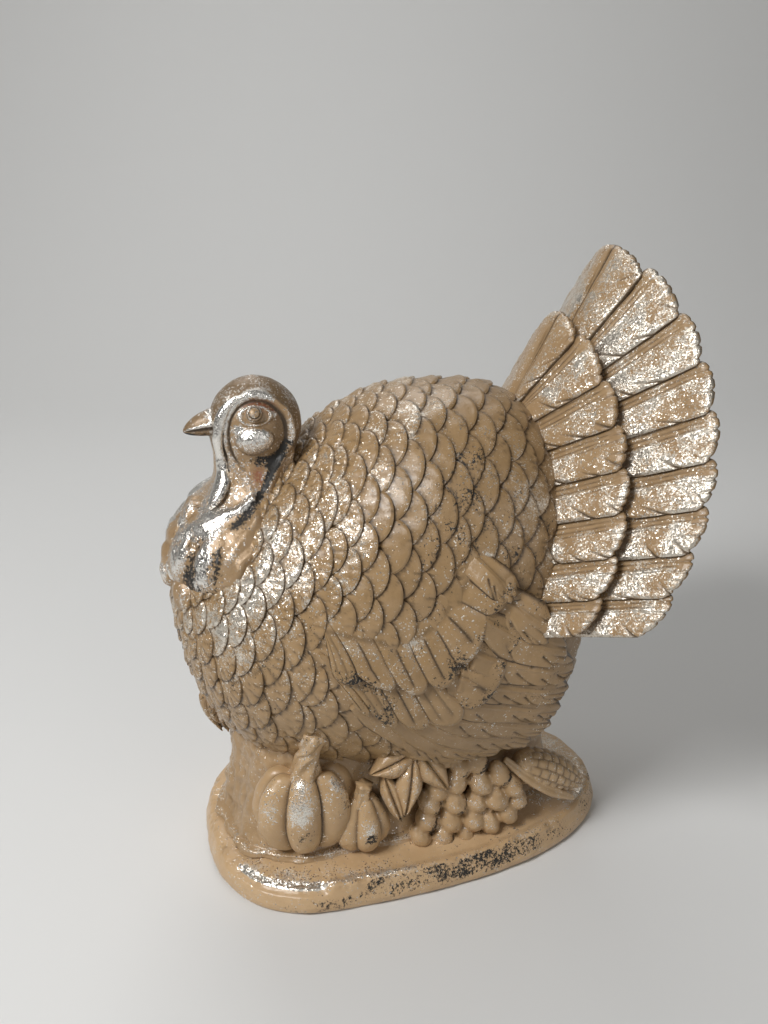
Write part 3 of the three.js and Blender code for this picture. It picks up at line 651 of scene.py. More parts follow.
husk = stalk(
    [[46, 39, 53], [50.0, 50, 43], [50.0, 63, 32.5], [46.5, 77, 23.5]], [1.4, 2.7, 2.6, 1.0],
    around=40, along=60, ridges=3, ridge=0.2,
)
skin, sides = merge([ring_skin(rings), husk])
wash_and_shade = np.append(0.6 * capped((1.0 - kernel) ** 1.5 * filled), np.full(len(husk[0]), 0.05))
for name, turned in HANDS:
    cast_piece(
        f"corn_ear_{name}_cast", skin * turned, sides, [f"corn_ear_{name}"], corn_paint,
        wash_and_shade=wash_and_shade, leaf=0.29, wear=0.31, crevice=(4, 0.4),
    )

# Body: the bird's egg-shaped trunk, one resin casting covered by overlapping scale feathers.
# The scales are laid in rings from the neck, each tip standing proud of the next row, and washed brown, with
# painted shade just below each covering tip and on the step walls.
BODY = np.array([  # y, crown height, belly height and half width of each station
    [-110.5, 137, 137, 0], [-105.5, 158, 106, 26], [-98, 169, 86, 39], [-87, 180, 68, 51], [-71, 192, 55, 60],
    [-50, 204.5, 46, 67], [-28, 220, 41, 71], [-3, 229, 39, 73], [22, 229.5, 39, 72], [45, 226, 42, 67],
    [63, 212, 50, 56], [77, 192, 64, 41], [86, 166, 90, 22], [90, 130, 130, 0],
])
BODY_MIDDLE = np.array([0.0, -8.0, 146.0])
BODY_REACH = 170.0
CROWN_FULLNESS = 2.2
NECK_AIM = np.array([0.0, -0.996, 0.087])
BACK_AIM = np.array([0.0, 0.087, 0.996])
SCALE_FIRST, SCALE_LAST, SCALE_PITCH = 0.05, 0.972, 0.0235
SCALE_COUNTS = [  # share of the run where each count starts, and scales round
    (0.0, 10), (0.12, 13), (0.2, 16), (0.34, 20), (0.74, 16), (0.91, 12),
]
MOST_SCALES = 24
SCALE_LENGTH = 2.2
SCALE_HALF_WIDTH = 0.53
SCALE_SUNK = 5.2
LOWEST_SCALE = 50.0
SCALE_PARTS = (("fore", 0.0, 0.29), ("shoulder", 0.29, 0.48), ("flank", 0.48, 0.68), ("rear", 0.68, 1.0))
STROKES = (  # turn aside, thickness, which lot, and the values of it between which the stroke comes in
    (0.0, 0.055, 3, 0.25, 0.5), (0.33, 0.05, 4, 0.5, 0.7), (-0.42, 0.05, 5, 0.6, 0.8),
)
BODY_SILVER = [  # x, y, z, radius and strength of each rubbed patch
    (38, -56, 190, 26, 0.14), (45, -90, 146, 26, 0.23), (52, -72, 161, 22, 0.13), (29, -5, 222, 30, 0.10),
    (0, -104, 128, 26, 0.14), (52, 44, 185, 20, 0.12), (55, 40, 200, 12, 0.10), (46, -46, 178, 30, 0.05),
]
BODY_BLACK = [  # the same for each patch of black wear
    (72, -10, 150, 9, 0.13), (43, -92, 111, 22, 0.06), (58, 0, 196, 20, 0.07), (69, 10, 168, 24, 0.06),
    (63, -62, 137, 16, 0.04), (52, 28, 200, 24, 0.06), (0, -104, 108, 26, 0.14), (52, -76, 128, 16, 0.04),
    (56, 40, 160, 18, 0.06), (48, -80, 106, 34, 0.05), (64, 22, 182, 36, 0.05),
]
body_paint = leafed_paint(
    "body_paint", (0.325, 0.207, 0.097), (0.375, 0.243, 0.12), (0.062, 0.037, 0.017), (0.74, 0.685, 0.60),
)
stations = curve(BODY, np.linspace(0, 1, 900))


def trunk(y):
    """Crown height, belly height, half width and lower fullness of the trunk at y."""
    top, bottom, half = (np.interp(y, stations[:, 0], stations[:, k]) for k in (1, 2, 3))
    return top, bottom, np.maximum(half, 1e-3), 1.8 + 0.4 * smooth(y, -40.0, 10.0)


def trunk_depth(points):
    """Negative inside the trunk and positive outside it."""
    x, y, z = points[..., 0], points[..., 1], points[..., 2]
    top, bottom, half, belly = trunk(y)
    middle, rise = (top + bottom) / 2.0, np.maximum((top - bottom) / 2.0, 1e-3)
    power = np.where(z > middle, CROWN_FULLNESS, belly)
    value = np.abs(x / half) ** power + np.abs((z - middle) / rise) ** power - 1.0
    return np.where((y < stations[0, 0]) | (y > stations[-1, 0]), 1.0, value)


ring_count, step_count = 264, 300
rings_at = np.linspace(0, 2 * np.pi, ring_count, endpoint=False)
ring, fall = np.meshgrid(rings_at, np.linspace(0, np.pi, step_count), indexing="ij")
aim = (
    np.cos(fall)[..., None] * NECK_AIM
    + (np.sin(fall) * np.cos(ring))[..., None] * BACK_AIM
    + (np.sin(fall) * np.sin(ring))[..., None] * np.array([1.0, 0.0, 0.0])
)
halvings = 34
inner, outer = np.zeros(ring.shape), np.full(ring.shape, BODY_REACH)
for _ in range(halvings):
    half_way = (inner + outer) / 2.0
    inside = trunk_depth(BODY_MIDDLE + half_way[..., None] * aim) < 0
    inner = np.where(inside, half_way, inner)
    outer = np.where(inside, outer, half_way)
skin = BODY_MIDDLE + inner[..., None] * aim
strides = np.linalg.norm(np.diff(skin, axis=1), axis=2)
run = np.concatenate([np.zeros((ring_count, 1)), np.cumsum(strides, 1)], 1)
lengths = run[:, -1]
even = np.linspace(0, 1, step_count)
trunk_skin = np.empty_like(skin)
for k in range(ring_count):
    for axis in range(3):
        trunk_skin[k, :, axis] = np.interp(even * lengths[k], run[k], skin[k, :, axis])
beside = np.roll(trunk_skin, -1, 0) - np.roll(trunk_skin, 1, 0)
onward = np.gradient(trunk_skin, axis=1)
facing = unit(np.cross(beside, onward))
facing *= np.sign((facing * (trunk_skin - BODY_MIDDLE)).sum(-1))[..., None]
facing[:, 0], facing[:, -1] = NECK_AIM, -NECK_AIM


def on_trunk(ring, share):
    """Point, outward direction and length of the run at ring turn and share of the way from the neck."""
    u = (ring / (2 * np.pi) * ring_count) % ring_count
    v = np.clip(share, 0.0, 1.0) * (step_count - 1)
    i, j = np.floor(u).astype(int), np.minimum(np.floor(v).astype(int), step_count - 2)
    du, dv = (u - i)[..., None], (v - j)[..., None]
    i, k = i % ring_count, (i + 1) % ring_count

    def mixed(table):
        low = table[i, j] * (1 - dv) + table[i, j + 1] * dv
        high = table[k, j] * (1 - dv) + table[k, j + 1] * dv
        return low * (1 - du) + high * du

    return mixed(trunk_skin), mixed(facing), lengths[i]


def scale_tip(across):
    """Length share that a scale reaches at each place across it."""
    return 0.42 + 0.58 * np.maximum(1.0 - np.abs(across) ** 2.1, 0.0) ** 0.56


def tiles_skin(top, sunk):
    """Closed shells of overlapping tiles: top is tiles by rows by columns, and sunk is the grid below it."""
    count, rows, columns, _ = top.shape
    loop = edge_loop(rows, columns)
    under = rows * columns + np.arange(len(loop))
    each = rows * columns + len(loop)
    quads = np.concatenate([
        sheet(rows, columns),
        np.stack([loop, under, np.roll(under, -1), np.roll(loop, -1)], -1),
    ])
    points = np.concatenate([top.reshape(count, -1, 3), sunk.reshape(count, -1, 3)[:, loop]], 1)
    starts = np.arange(count)[:, None, None] * each
    faces = (quads[None] + starts).reshape(-1, 4).tolist()
    faces += (under[::-1][None] + starts[:, 0]).tolist()
    return points.reshape(-1, 3), faces, loop


def tile_values(values, loop, edge_value):
    """Tile values with the sunk edge's value added to each tile."""
    count = len(values)
    flat = values.reshape(count, -1)
    return np.concatenate([flat, np.full((count, len(loop)), edge_value)], 1).reshape(-1)


random = np.random.default_rng(4)
tips = np.arange(SCALE_FIRST, SCALE_LAST, SCALE_PITCH)
row_scales = np.array([[count for place, count in SCALE_COUNTS if place <= tip][-1] for tip in tips])
tip_nudge = random.normal(0.0, 0.08, (len(tips), MOST_SCALES)) * SCALE_PITCH
ring_nudge = random.normal(0.0, 0.04, (len(tips), MOST_SCALES))


def row_edge(row, ring):
    """Place on the run of a scale row's scalloped lower edge, at a turn round the neck's axis."""
    above = np.maximum(row, 0)
    count = row_scales[above]
    cover = ring * count / (2 * np.pi) - 0.5 * (above % 2)
    j = np.round(cover).astype(int)
    at = cover - j - ring_nudge[above, j % count]
    edge = tips[above] + tip_nudge[above, j % count]
    tucked = 1.0 - scale_tip(np.clip(at / SCALE_HALF_WIDTH, -1.0, 1.0))
    edge = edge - SCALE_LENGTH * SCALE_PITCH * tucked
    return np.where(row < 0, -1.0, edge)


def strongest(*shares):
    """Greatest of several shares at each point."""
    return np.maximum.reduce(np.broadcast_arrays(*shares))


def near_both(points, spots):
    """Strength of rubbed patches on both sides of the bird; a patch on its middle line counts once."""
    mirrored = points * np.array([-1.0, 1.0, 1.0])
    return near(points, spots) + near(mirrored, [spot for spot in spots if spot[0]])


rows_i = np.repeat(np.arange(len(tips)), row_scales)
rounds_j = np.concatenate([np.arange(count) for count in row_scales])
wide = 2 * np.pi / row_scales[rows_i]
middle_ring = (rounds_j + 0.5 * (rows_i % 2) + ring_nudge[rows_i, rounds_j]) * wide
middle_point, _, _ = on_trunk(middle_ring, tips[rows_i] - SCALE_PITCH)
kept = middle_point[:, 2] > LOWEST_SCALE
rows_i, rounds_j, wide, middle_ring = rows_i[kept], rounds_j[kept], wide[kept], middle_ring[kept]
count = len(rows_i)
lot = random.uniform(0.0, 1.0, (count, 9))[:, :, None, None]

across = np.sin(np.linspace(-1, 1, 33) * np.pi / 2.0)[None, None, :]
along = np.array([0.0, 0.28, 0.46, 0.58, 0.68, 0.76, 0.83, 0.89, 0.935, 0.965, 0.985, 1.0])[None, :, None]
reach = along * scale_tip(across)
tip = (tips[rows_i] + tip_nudge[rows_i, rounds_j])[:, None, None]
wide = wide[:, None, None]
ring = middle_ring[:, None, None] + SCALE_HALF_WIDTH * wide * across * np.ones((count, along.shape[1], 1))
share = tip - SCALE_LENGTH * SCALE_PITCH * (1.0 - reach)
point, out, length = on_trunk(ring, share)
scale_length = SCALE_LENGTH * SCALE_PITCH * length
girth = np.linalg.norm(point[:, -1, -1] - point[:, -1, 0], axis=1)[:, None, None]
row_at = rows_i[:, None, None]
covered = row_edge(row_at - 1, ring)
turn_step = 0.02
slope = (row_edge(row_at - 1, ring + turn_step) - row_edge(row_at - 1, ring - turn_step)) * length
slope = slope / (2.0 * turn_step * girth / (2.0 * SCALE_HALF_WIDTH * wide))
clear = np.maximum(share - covered, 0.0) * length / np.sqrt(1.0 + np.minimum(slope * slope, 9.0))
tip_slope = np.gradient(scale_tip(across[0, 0]), across[0, 0])[None, None, :] * 2.0 * scale_length / girth
to_edge = (1.0 - along) * scale_tip(across) * scale_length / np.sqrt(1.0 + np.minimum(tip_slope ** 2, 9.0))
to_edge = np.minimum(to_edge, (1.0 - np.abs(across)) * girth / 2.0)
near_neck = fading(tip, 0.30, 0.48)
spread = np.arctan2(across * girth / 2.0, (reach - 0.34) * scale_length)
flute = np.cos((9.0 + 5.0 * lot[:, 0]) * spread + 6.28 * lot[:, 1])
flute = (0.5 - 0.5 * flute) ** 4 * smooth(reach, 0.46, 0.62)
stroke_turn = 1.1 * (lot[:, 2] - 0.5)
strokes = 0.0
for aside, thin, pick, low, high in STROKES:
    stroke = bell((spread - stroke_turn - aside) * reach, 0.0, thin) * smooth(lot[:, pick], low, high)
    strokes = np.maximum(strokes, stroke)
strokes = strokes * smooth(reach, 0.56 + 0.2 * lot[:, 6], 0.84) * (1.0 - near_neck)
lift = 0.2 - 2.7 * (1.0 - reach) + 0.7 * (1.0 - across ** 2) * (1.0 - (1.0 - reach) ** 2)
lift = lift + 0.9 * (lot[:, 7] - 0.5) * across * reach
lift = lift - near_neck * (0.6 + 0.3 * lot[:, 2]) * flute - 0.5 * strokes
lift = lift - 0.5 * fading(to_edge, 0.0, 1.0)
small = np.clip(girth / 15.0, 0.45, 1.0)
top = point + (lift * small)[..., None] * out
top += 0.5 * lumps(top, 7.0, 5)[..., None] * out
sunk = point - (SCALE_SUNK * small)[..., None] * out
# Brown wash in the flutes and strokes. The dark line just below each covering scale's edge is brown wash and
# painted shadow, and the wider brown beside it is painted shade.
wash_and_shade = strongest(
    bell(clear, 0.0, 0.85), 0.30 * bell(clear, 0.0, 2.2), 0.6 * near_neck * flute, 0.55 * strokes,
)
# The scales darken towards the rear.
rearward_darkening = 0.22 * smooth(point[..., 1], -55.0, -5.0) + 0.12 * smooth(point[..., 1], 5.0, 45.0)
wash_and_shade = wash_and_shade + (1.0 - wash_and_shade) * rearward_darkening
leaf = 0.255 + 0.10 * (lot[:, 8] - 0.4) + 0.06 * bell(to_edge, 0.0, 1.1)
leaf = leaf + near_both(point, BODY_SILVER)
wear = 0.30 + 0.07 * smooth(lot[:, 4], 0.7, 1.0) + near_both(point, BODY_BLACK)
row_place = tips[rows_i]
for name, first, last in SCALE_PARTS:
    chosen = (row_place >= first) & (row_place < last)
    points, faces, loop = tiles_skin(top[chosen], sunk[chosen])
    # The sunk wall under each scale's edge gets full wash, which is painted shade in the step.
    cast_piece(
        f"body_scales_{name}", points, faces, ["body"], body_paint,
        wash_and_shade=tile_values(wash_and_shade[chosen], loop, 1.0), leaf=tile_values(leaf[chosen], loop, 0.2),
        wear=tile_values(wear[chosen], loop, 0.26),
    )
core, core_out, core_place = trunk_skin[::2, 4:-4:2], facing[::2, 4:-4:2], even[None, 4:-4:2]
rear_end = smooth(core_place, 0.94, 0.965)
petals = np.cos(9.0 * rings_at[::2])[:, None] * fading(core_place, 0.95, 0.985)
core = core + (rear_end * (2.9 + 0.5 * petals + 0.6 * lumps(core, 7.0, 4)) - 3.0)[..., None] * core_out
points, faces = ring_skin(np.moveaxis(core, 0, 1))
# The core shows only in the gaps between scales. Its dark wash there is painted shade, and it is lighter at
# the rear end.
cast_piece(
    "body_core", points, faces, ["body"], body_paint,
    wash_and_shade=capped(np.moveaxis(0.8 - 0.6 * rear_end + 0.0 * core[..., 0], 0, 1)), leaf=0.25, wear=0.32,
)

# Wings: on each flank, two rows of ribbed covert feathers over long flight plumes, folded against the trunk.
# They are cast on the trunk in low relief, washed brown in the cuts, painted with shade where one feather
# meets or covers the next, and spotted with black wear.
# Each row is a line of places on the flank: y, and degrees round from the crown.
SHOULDER_ROW = [[-52, 76], [-22, 86], [0, 80], [18, 64]]
FIRST_ROW = [[-50, 89], [-22, 98], [4, 94], [30, 74]]
SECOND_ROW = [[-40, 104], [-20, 111], [10, 107], [42, 80]]
PLUMES = [  # root y and degrees, tip y and degrees, and half width
    (6, 63, 28, 80, 7.0), (12, 72, 46, 90, 8.0), (14, 84, 56, 95, 7.0), (10, 91, 62, 100, 7.0),
    (4, 97, 60, 107, 7.0), (-2, 102, 57, 114, 7.5), (-9, 106, 54, 121, 8.0), (-16, 109, 46, 129, 8.0),
    (-23, 110, 33, 134, 8.0), (-31, 108, 15, 134, 8.0), (-38, 103, -5, 125, 7.0),
]
FLANK_MM = 1.55  # along the flank in each degree
COVERTS = 6
PLUME_CUTS = 6
PLUME_NICKS = 3
COVERT_LIFT = 5.4
COVERT_SUNK = -3.6
PLUME_SUNK = -3.0
WING_BLACK = [
    (72, -8, 141, 8, 0.08), (72, -2, 128, 8, 0.11), (73, 6, 126, 7, 0.11), (71, -38, 122, 8, 0.14),
    (71, -26, 112, 9, 0.12), (72, 14, 138, 7, 0.16), (70, 24, 146, 8, 0.12), (66, 44, 104, 9, 0.14),
    (73, -22, 131, 10, 0.08), (66, 30, 128, 9, 0.08),
]
WING_SILVER = [
    (72, -44, 139, 7, 0.16), (73, -14, 139, 7, 0.12), (72, -30, 147, 8, 0.10), (73, -20, 126, 6, 0.12),
]
wing_paint = leafed_paint(
    "wing_paint", (0.31, 0.197, 0.092), (0.355, 0.23, 0.114), (0.062, 0.037, 0.017), (0.73, 0.675, 0.59),
)


def on_flank(y, angle, lift):
    """Point raised over the trunk at y and at an angle in degrees from the crown, on the left side."""
    top, bottom, half, belly = trunk(y)
    turn = np.radians(angle)
    s, c = np.sin(turn), np.cos(turn)
    power = np.where(c > 0, CROWN_FULLNESS, belly)
    x = np.abs(s) ** (2.0 / power) * (half + lift)
    z = (top + bottom) / 2.0 + np.sign(c) * np.abs(c) ** (2.0 / power) * ((top - bottom) / 2.0 + lift)
    return np.stack([x, y + 0.0 * x, z], -1)


def carve(u, v, start, end, wide, deep):
    """Depth of a tapering cut from start, where it is widest and deepest, to end."""
    start, line = np.array(start), np.array(end) - np.array(start)
    size = np.linalg.norm(line)
    ahead = line / size
    du, dv = u - start[0], v - start[1]
    along = du * ahead[0] + dv * ahead[1]
    off = np.abs(du * ahead[1] - dv * ahead[0])
    taper = np.clip(1.0 - along / size, 0.0, 1.0)
    inside = (along < size) & (along > -2.5)
    return inside * deep * taper ** 0.6 * np.maximum(0.0, 1.0 - off / (wide * (0.35 + 0.65 * taper)))


def covert_row(upper, lower, root_lift, seed):
    """Tops, undersides and paint shares of one covert row, whose feathers slant rearward as they fall."""
    lot = np.random.default_rng(seed).uniform(0.0, 1.0, (COVERTS, 6))[:, :, None, None]
    n = np.arange(COVERTS)[:, None, None]
    across = np.sin(np.linspace(-1, 1, 35) * np.pi / 2.0)[None, None, :]
    along = (1.0 - (1.0 - np.linspace(0, 1, 34)) ** 1.3)[None, :, None]
    tip = 0.72 + 0.28 * np.maximum(1.0 - np.abs(across) ** 2.2, 0.0) ** 0.55
    reach = along * tip * (1.0 + 0.08 * (lot[:, 0] - 0.5))
    place = np.clip((n + 0.5 + 0.54 * across) / COVERTS, 0.0, 1.0) + 0.0 * reach
    top_edge, low_edge = curve(upper, 0.96 * place - 0.09), curve(lower, place)
    share = -0.34 + 1.42 * reach
    at = top_edge + share[..., None] * (low_edge - top_edge)
    to_side = (1.0 - np.abs(across)) * 5.6
    to_edge = np.minimum((1.0 - along) * 20.0, to_side)
    ribs = 2.0 + np.round(lot[:, 1])
    cut = np.abs(np.sin(np.pi * ribs * (across + 1.0) / 2.0)) ** 0.5
    cut = (1.0 - cut) * smooth(reach, 0.24, 0.4) * fading(along, 0.80, 0.96)
    cut = cut * fading(np.abs(across), 0.8, 0.98)
    lift = root_lift + (COVERT_LIFT - root_lift) * smooth(share, -0.34, 1.15)
    lift = lift + 0.7 * (1.0 - across ** 2) * smooth(share, -0.1, 0.4)
    lift = lift - 0.62 * cut - 0.65 * fading(to_edge, 0.0, 1.1)
    lift = lift + 0.9 * (lot[:, 5] - 0.5) * across * smooth(share, 0.0, 0.5)
    top = on_flank(at[..., 0], at[..., 1], lift)
    top[..., 0] += 0.3 * lumps(top, 6.0, seed % 7)
    sunk = on_flank(at[..., 0], at[..., 1], COVERT_SUNK)
    # Brown wash in the rib cuts. The dark side edges, where neighbouring feathers meet, and the dark band
    # just below the row above are painted shade.
    wash_and_shade = strongest(
        0.9 * cut ** 1.3,
        0.95 * fading(to_side, 0.1, 1.0) * smooth(reach, 0.2, 0.3),
        0.5 * bell(share, 0.05, 0.09),
    )
    leaf = 0.265 + 0.10 * (lot[:, 3] - 0.4) + 0.07 * bell(to_edge, 0.0, 1.4)
    wear = 0.32 + 0.15 * smooth(lot[:, 4], 0.1, 0.8) * smooth(reach, 0.45, 0.9) * bell(to_edge, 1.5, 3.0)
    return top, sunk, wash_and_shade, leaf, wear


def plume(path, layer, seed):
    """Top, underside and paint shares of one long flight plume; its lower edge covers the next plume."""
    y_root, angle_root, y_tip, angle_tip, half_width = path
    lot = np.random.default_rng(seed).uniform(0.0, 1.0, 40)
    places = 1.0 - (1.0 - np.linspace(0, 1, 64)) ** 1.25
    along, across = np.meshgrid(places, np.linspace(-1, 1, 31), indexing="ij")
    line = np.array([y_tip - y_root, (angle_tip - angle_root) * FLANK_MM])
    length = np.linalg.norm(line)
    ahead, sideways = line / length, np.array([-line[1], line[0]]) / length
    tip_back = 0.24 * np.abs(across) ** 2.4 + 0.012 * np.sin(9.0 * across + 6.0 * lot[0])
    run = along * (1.0 - tip_back) * length
    bow = 3.0 * np.sin(np.pi * along) * (0.5 + 0.5 * lot[1])
    width = half_width * (0.75 + 0.25 * smooth(along, 0.0, 0.4))
    off = across * width + bow
    y = y_root + ahead[0] * run + sideways[0] * off
    angle = angle_root + (ahead[1] * run + sideways[1] * off) / FLANK_MM
    u, v = across * width, run
    quill = bell(u + 0.12 * width, 0.0, 0.6) * fading(along, 0.6, 0.92)
    cuts = np.zeros_like(u)
    for k in range(PLUME_CUTS):
        start = (0.30 + 0.13 * k + 0.08 * lot[2 + k]) * length
        side = 1.0 if lot[10 + k] > 0.3 else -1.0
        begin = (side * width.max() * (0.25 + 0.35 * lot[18 + k]), start)
        end = (begin[0] + side * (2.0 + 2.2 * lot[26 + k]), start + 4.0 + 3.5 * lot[34 - k])
        deep = 0.95 if lot[10 + k] > 0.15 else 0.0
        cuts = np.maximum(cuts, carve(u, v, end, begin, 0.75, deep))
        cuts = np.maximum(cuts, carve(u, v, begin, end, 0.8, deep))
    cuts = cuts * (smooth(along, 0.4, 0.6) if layer < 2 else 1.0)
    for k in range(PLUME_NICKS):
        across_at = width.max() * (-0.5 + 0.45 * k + 0.2 * lot[k])
        end = (across_at - 0.6, (0.80 - 0.08 * lot[k + 5]) * length)
        cuts = np.maximum(cuts, carve(u, v, (across_at, length), end, 0.9, 0.9))
    to_edge = np.minimum((1.0 - along) * length, np.minimum(1.0 - across, 1.2) * width)
    root = -6.5 + 8.7 * smooth(along - 0.22 * across ** 2, 0.05, 0.7) if layer < 2 else 1.6 + 0.8 * along
    lift = root + 0.3 * (10 - layer) * (along > 0) + 7.0 * smooth(y, 24.0, 64.0)
    lift = lift + 0.9 * across + 0.5 * (1.0 - across ** 2)
    lift = lift + 0.5 * quill - cuts - 0.7 * fading(to_edge, 0.0, 1.3)
    top = on_flank(y, angle, lift)
    top[..., 0] += 0.35 * lumps(top, 8.0, seed % 7)
    behind = np.maximum(lift - 4.5, PLUME_SUNK)
    free = smooth(y, 30.0, 45.0)
    sunk = on_flank(y, angle, behind * free + PLUME_SUNK * (1.0 - free))
    # Brown wash in the cuts and beside the quill. The dark side edges and tip, where the plumes overlap, are
    # painted shade.
    wash_and_shade = strongest(
        cuts,
        0.9 * bell((1.0 + across) * width, 0.0, 1.1),
        0.95 * fading((1.0 - across) * width, 0.1, 1.1) * smooth(along, 0.1, 0.3),
        0.8 * fading((1.0 - along) * length, 0.0, 0.9),
        0.45 * bell(u + 0.35 * width, 0.0, 0.5) * fading(along, 0.7, 0.95),
    )
    leaf = 0.225 + 0.05 * (lot[0] - 0.5) + 0.05 * bell(to_edge, 0.0, 1.2)
    wear = 0.325 + 0.05 * smooth(along, 0.5, 0.9)
    return top, sunk, wash_and_shade, leaf, wear


plumes = [plume(path, n, 60 + n) for n, path in enumerate(PLUMES)]
wing_parts = [
    ("covert_row_1", covert_row(SHOULDER_ROW, FIRST_ROW, -1.2, 21)),
    ("covert_row_2", covert_row(FIRST_ROW, SECOND_ROW, 0.8, 22)),
    ("flight_feathers", [np.stack(part) for part in zip(*plumes)]),
]
for name, turned in HANDS:
    for part, (top, sunk, wash_and_shade, leaf, wear) in wing_parts:
        points, faces, loop = tiles_skin(top, sunk)
        node = f"wing_{name}_{part}"
        # The sunk walls under each feather's edge are washed dark as painted shade.
        cast_piece(
            f"{node}_cast", points * turned, faces, [node], wing_paint,
            wash_and_shade=tile_values(wash_and_shade, loop, 0.9), leaf=tile_values(leaf + near(top, WING_SILVER), loop, 0.2),
            wear=tile_values(wear + near(top, WING_BLACK), loop, 0.26),
        )

# Tail fan: two rows of broad feathers, cast as one leaning sheet behind the back and bonded to the trunk.
# Each has carved ridges above its quill and a flat vane below it, nicked at the edge and rubbed with silver,
# with painted shade beside the edge of the feather that covers it.
FAN_AT = np.array([0.0, 42.8, 183.0])
FAN_LEAN = math.radians(28.2)
FAN_SWEEP = math.radians(28.0)
FAN_FOLD = 10.0
OUTER = dict(
    sides=8, root=41.0, length=58.0, waist_at=63, growth=0.006, first=12.7, step=15.5, close=0.39,
    spread=67, pace=2.3, front=0.0, thick=6.0,
)
INNER = dict(
    sides=7, root=25.0, length=46.0, waist_at=52, growth=0.0067, first=13.7, step=21.3, close=0.9,
    spread=64, pace=1.6, front=-9.0, thick=6.4,
)
TIP_NICKS = 4
VANE_CUTS = 4
FEATHER_STEP = 2.2
FEATHER_TUCK = 0.10
TIP_THICK = 1.6
REARWARD = np.array([0.0, 1.0, 0.0])
TAIL_BLACK = [
    (99, 87, 150, 9, 0.14), (104, 96, 162, 8, 0.14), (66, 62, 150, 10, 0.08), (72, 62, 195, 7, 0.12),
]
tail_paint = leafed_paint(
    "tail_paint", (0.335, 0.215, 0.108), (0.385, 0.255, 0.135), (0.066, 0.04, 0.018), (0.69, 0.635, 0.55),
    leaf_rough=0.34, tilt=0.48, crinkle=0.5,
)


def fan_point(x, v):
    """Point of the leaning and swept tail sheet at sideways place x and height v."""
    fold = math.tan(FAN_SWEEP) * (np.hypot(x, FAN_FOLD) - FAN_FOLD)
    y = FAN_AT[1] + v * math.sin(FAN_LEAN) + fold
    return np.stack([x, y, FAN_AT[2] + v * math.cos(FAN_LEAN)], -1)


def fan_edge(fan, n, t):
    """Line between feathers n and n + 1 of a fan row at share t from root to tip."""
    side = -1.0 if n < 0 else 1.0
    k = -n - 1 if n < 0 else n
    place = fan["first"] + fan["step"] * k - fan["close"] * k * k
    aim = math.radians(fan["spread"] * (1.0 - math.exp(-(k + 0.5) / fan["pace"])))
    reach = fan["root"] + fan["length"] + fan["growth"] * (place - fan["waist_at"]) ** 2
    back = fan["length"] * (1.0 - t)
    x = side * (reach * math.sin(math.radians(place)) - back * math.sin(aim))
    return np.stack([x, reach * math.cos(math.radians(place)) - back * math.cos(aim)], -1)


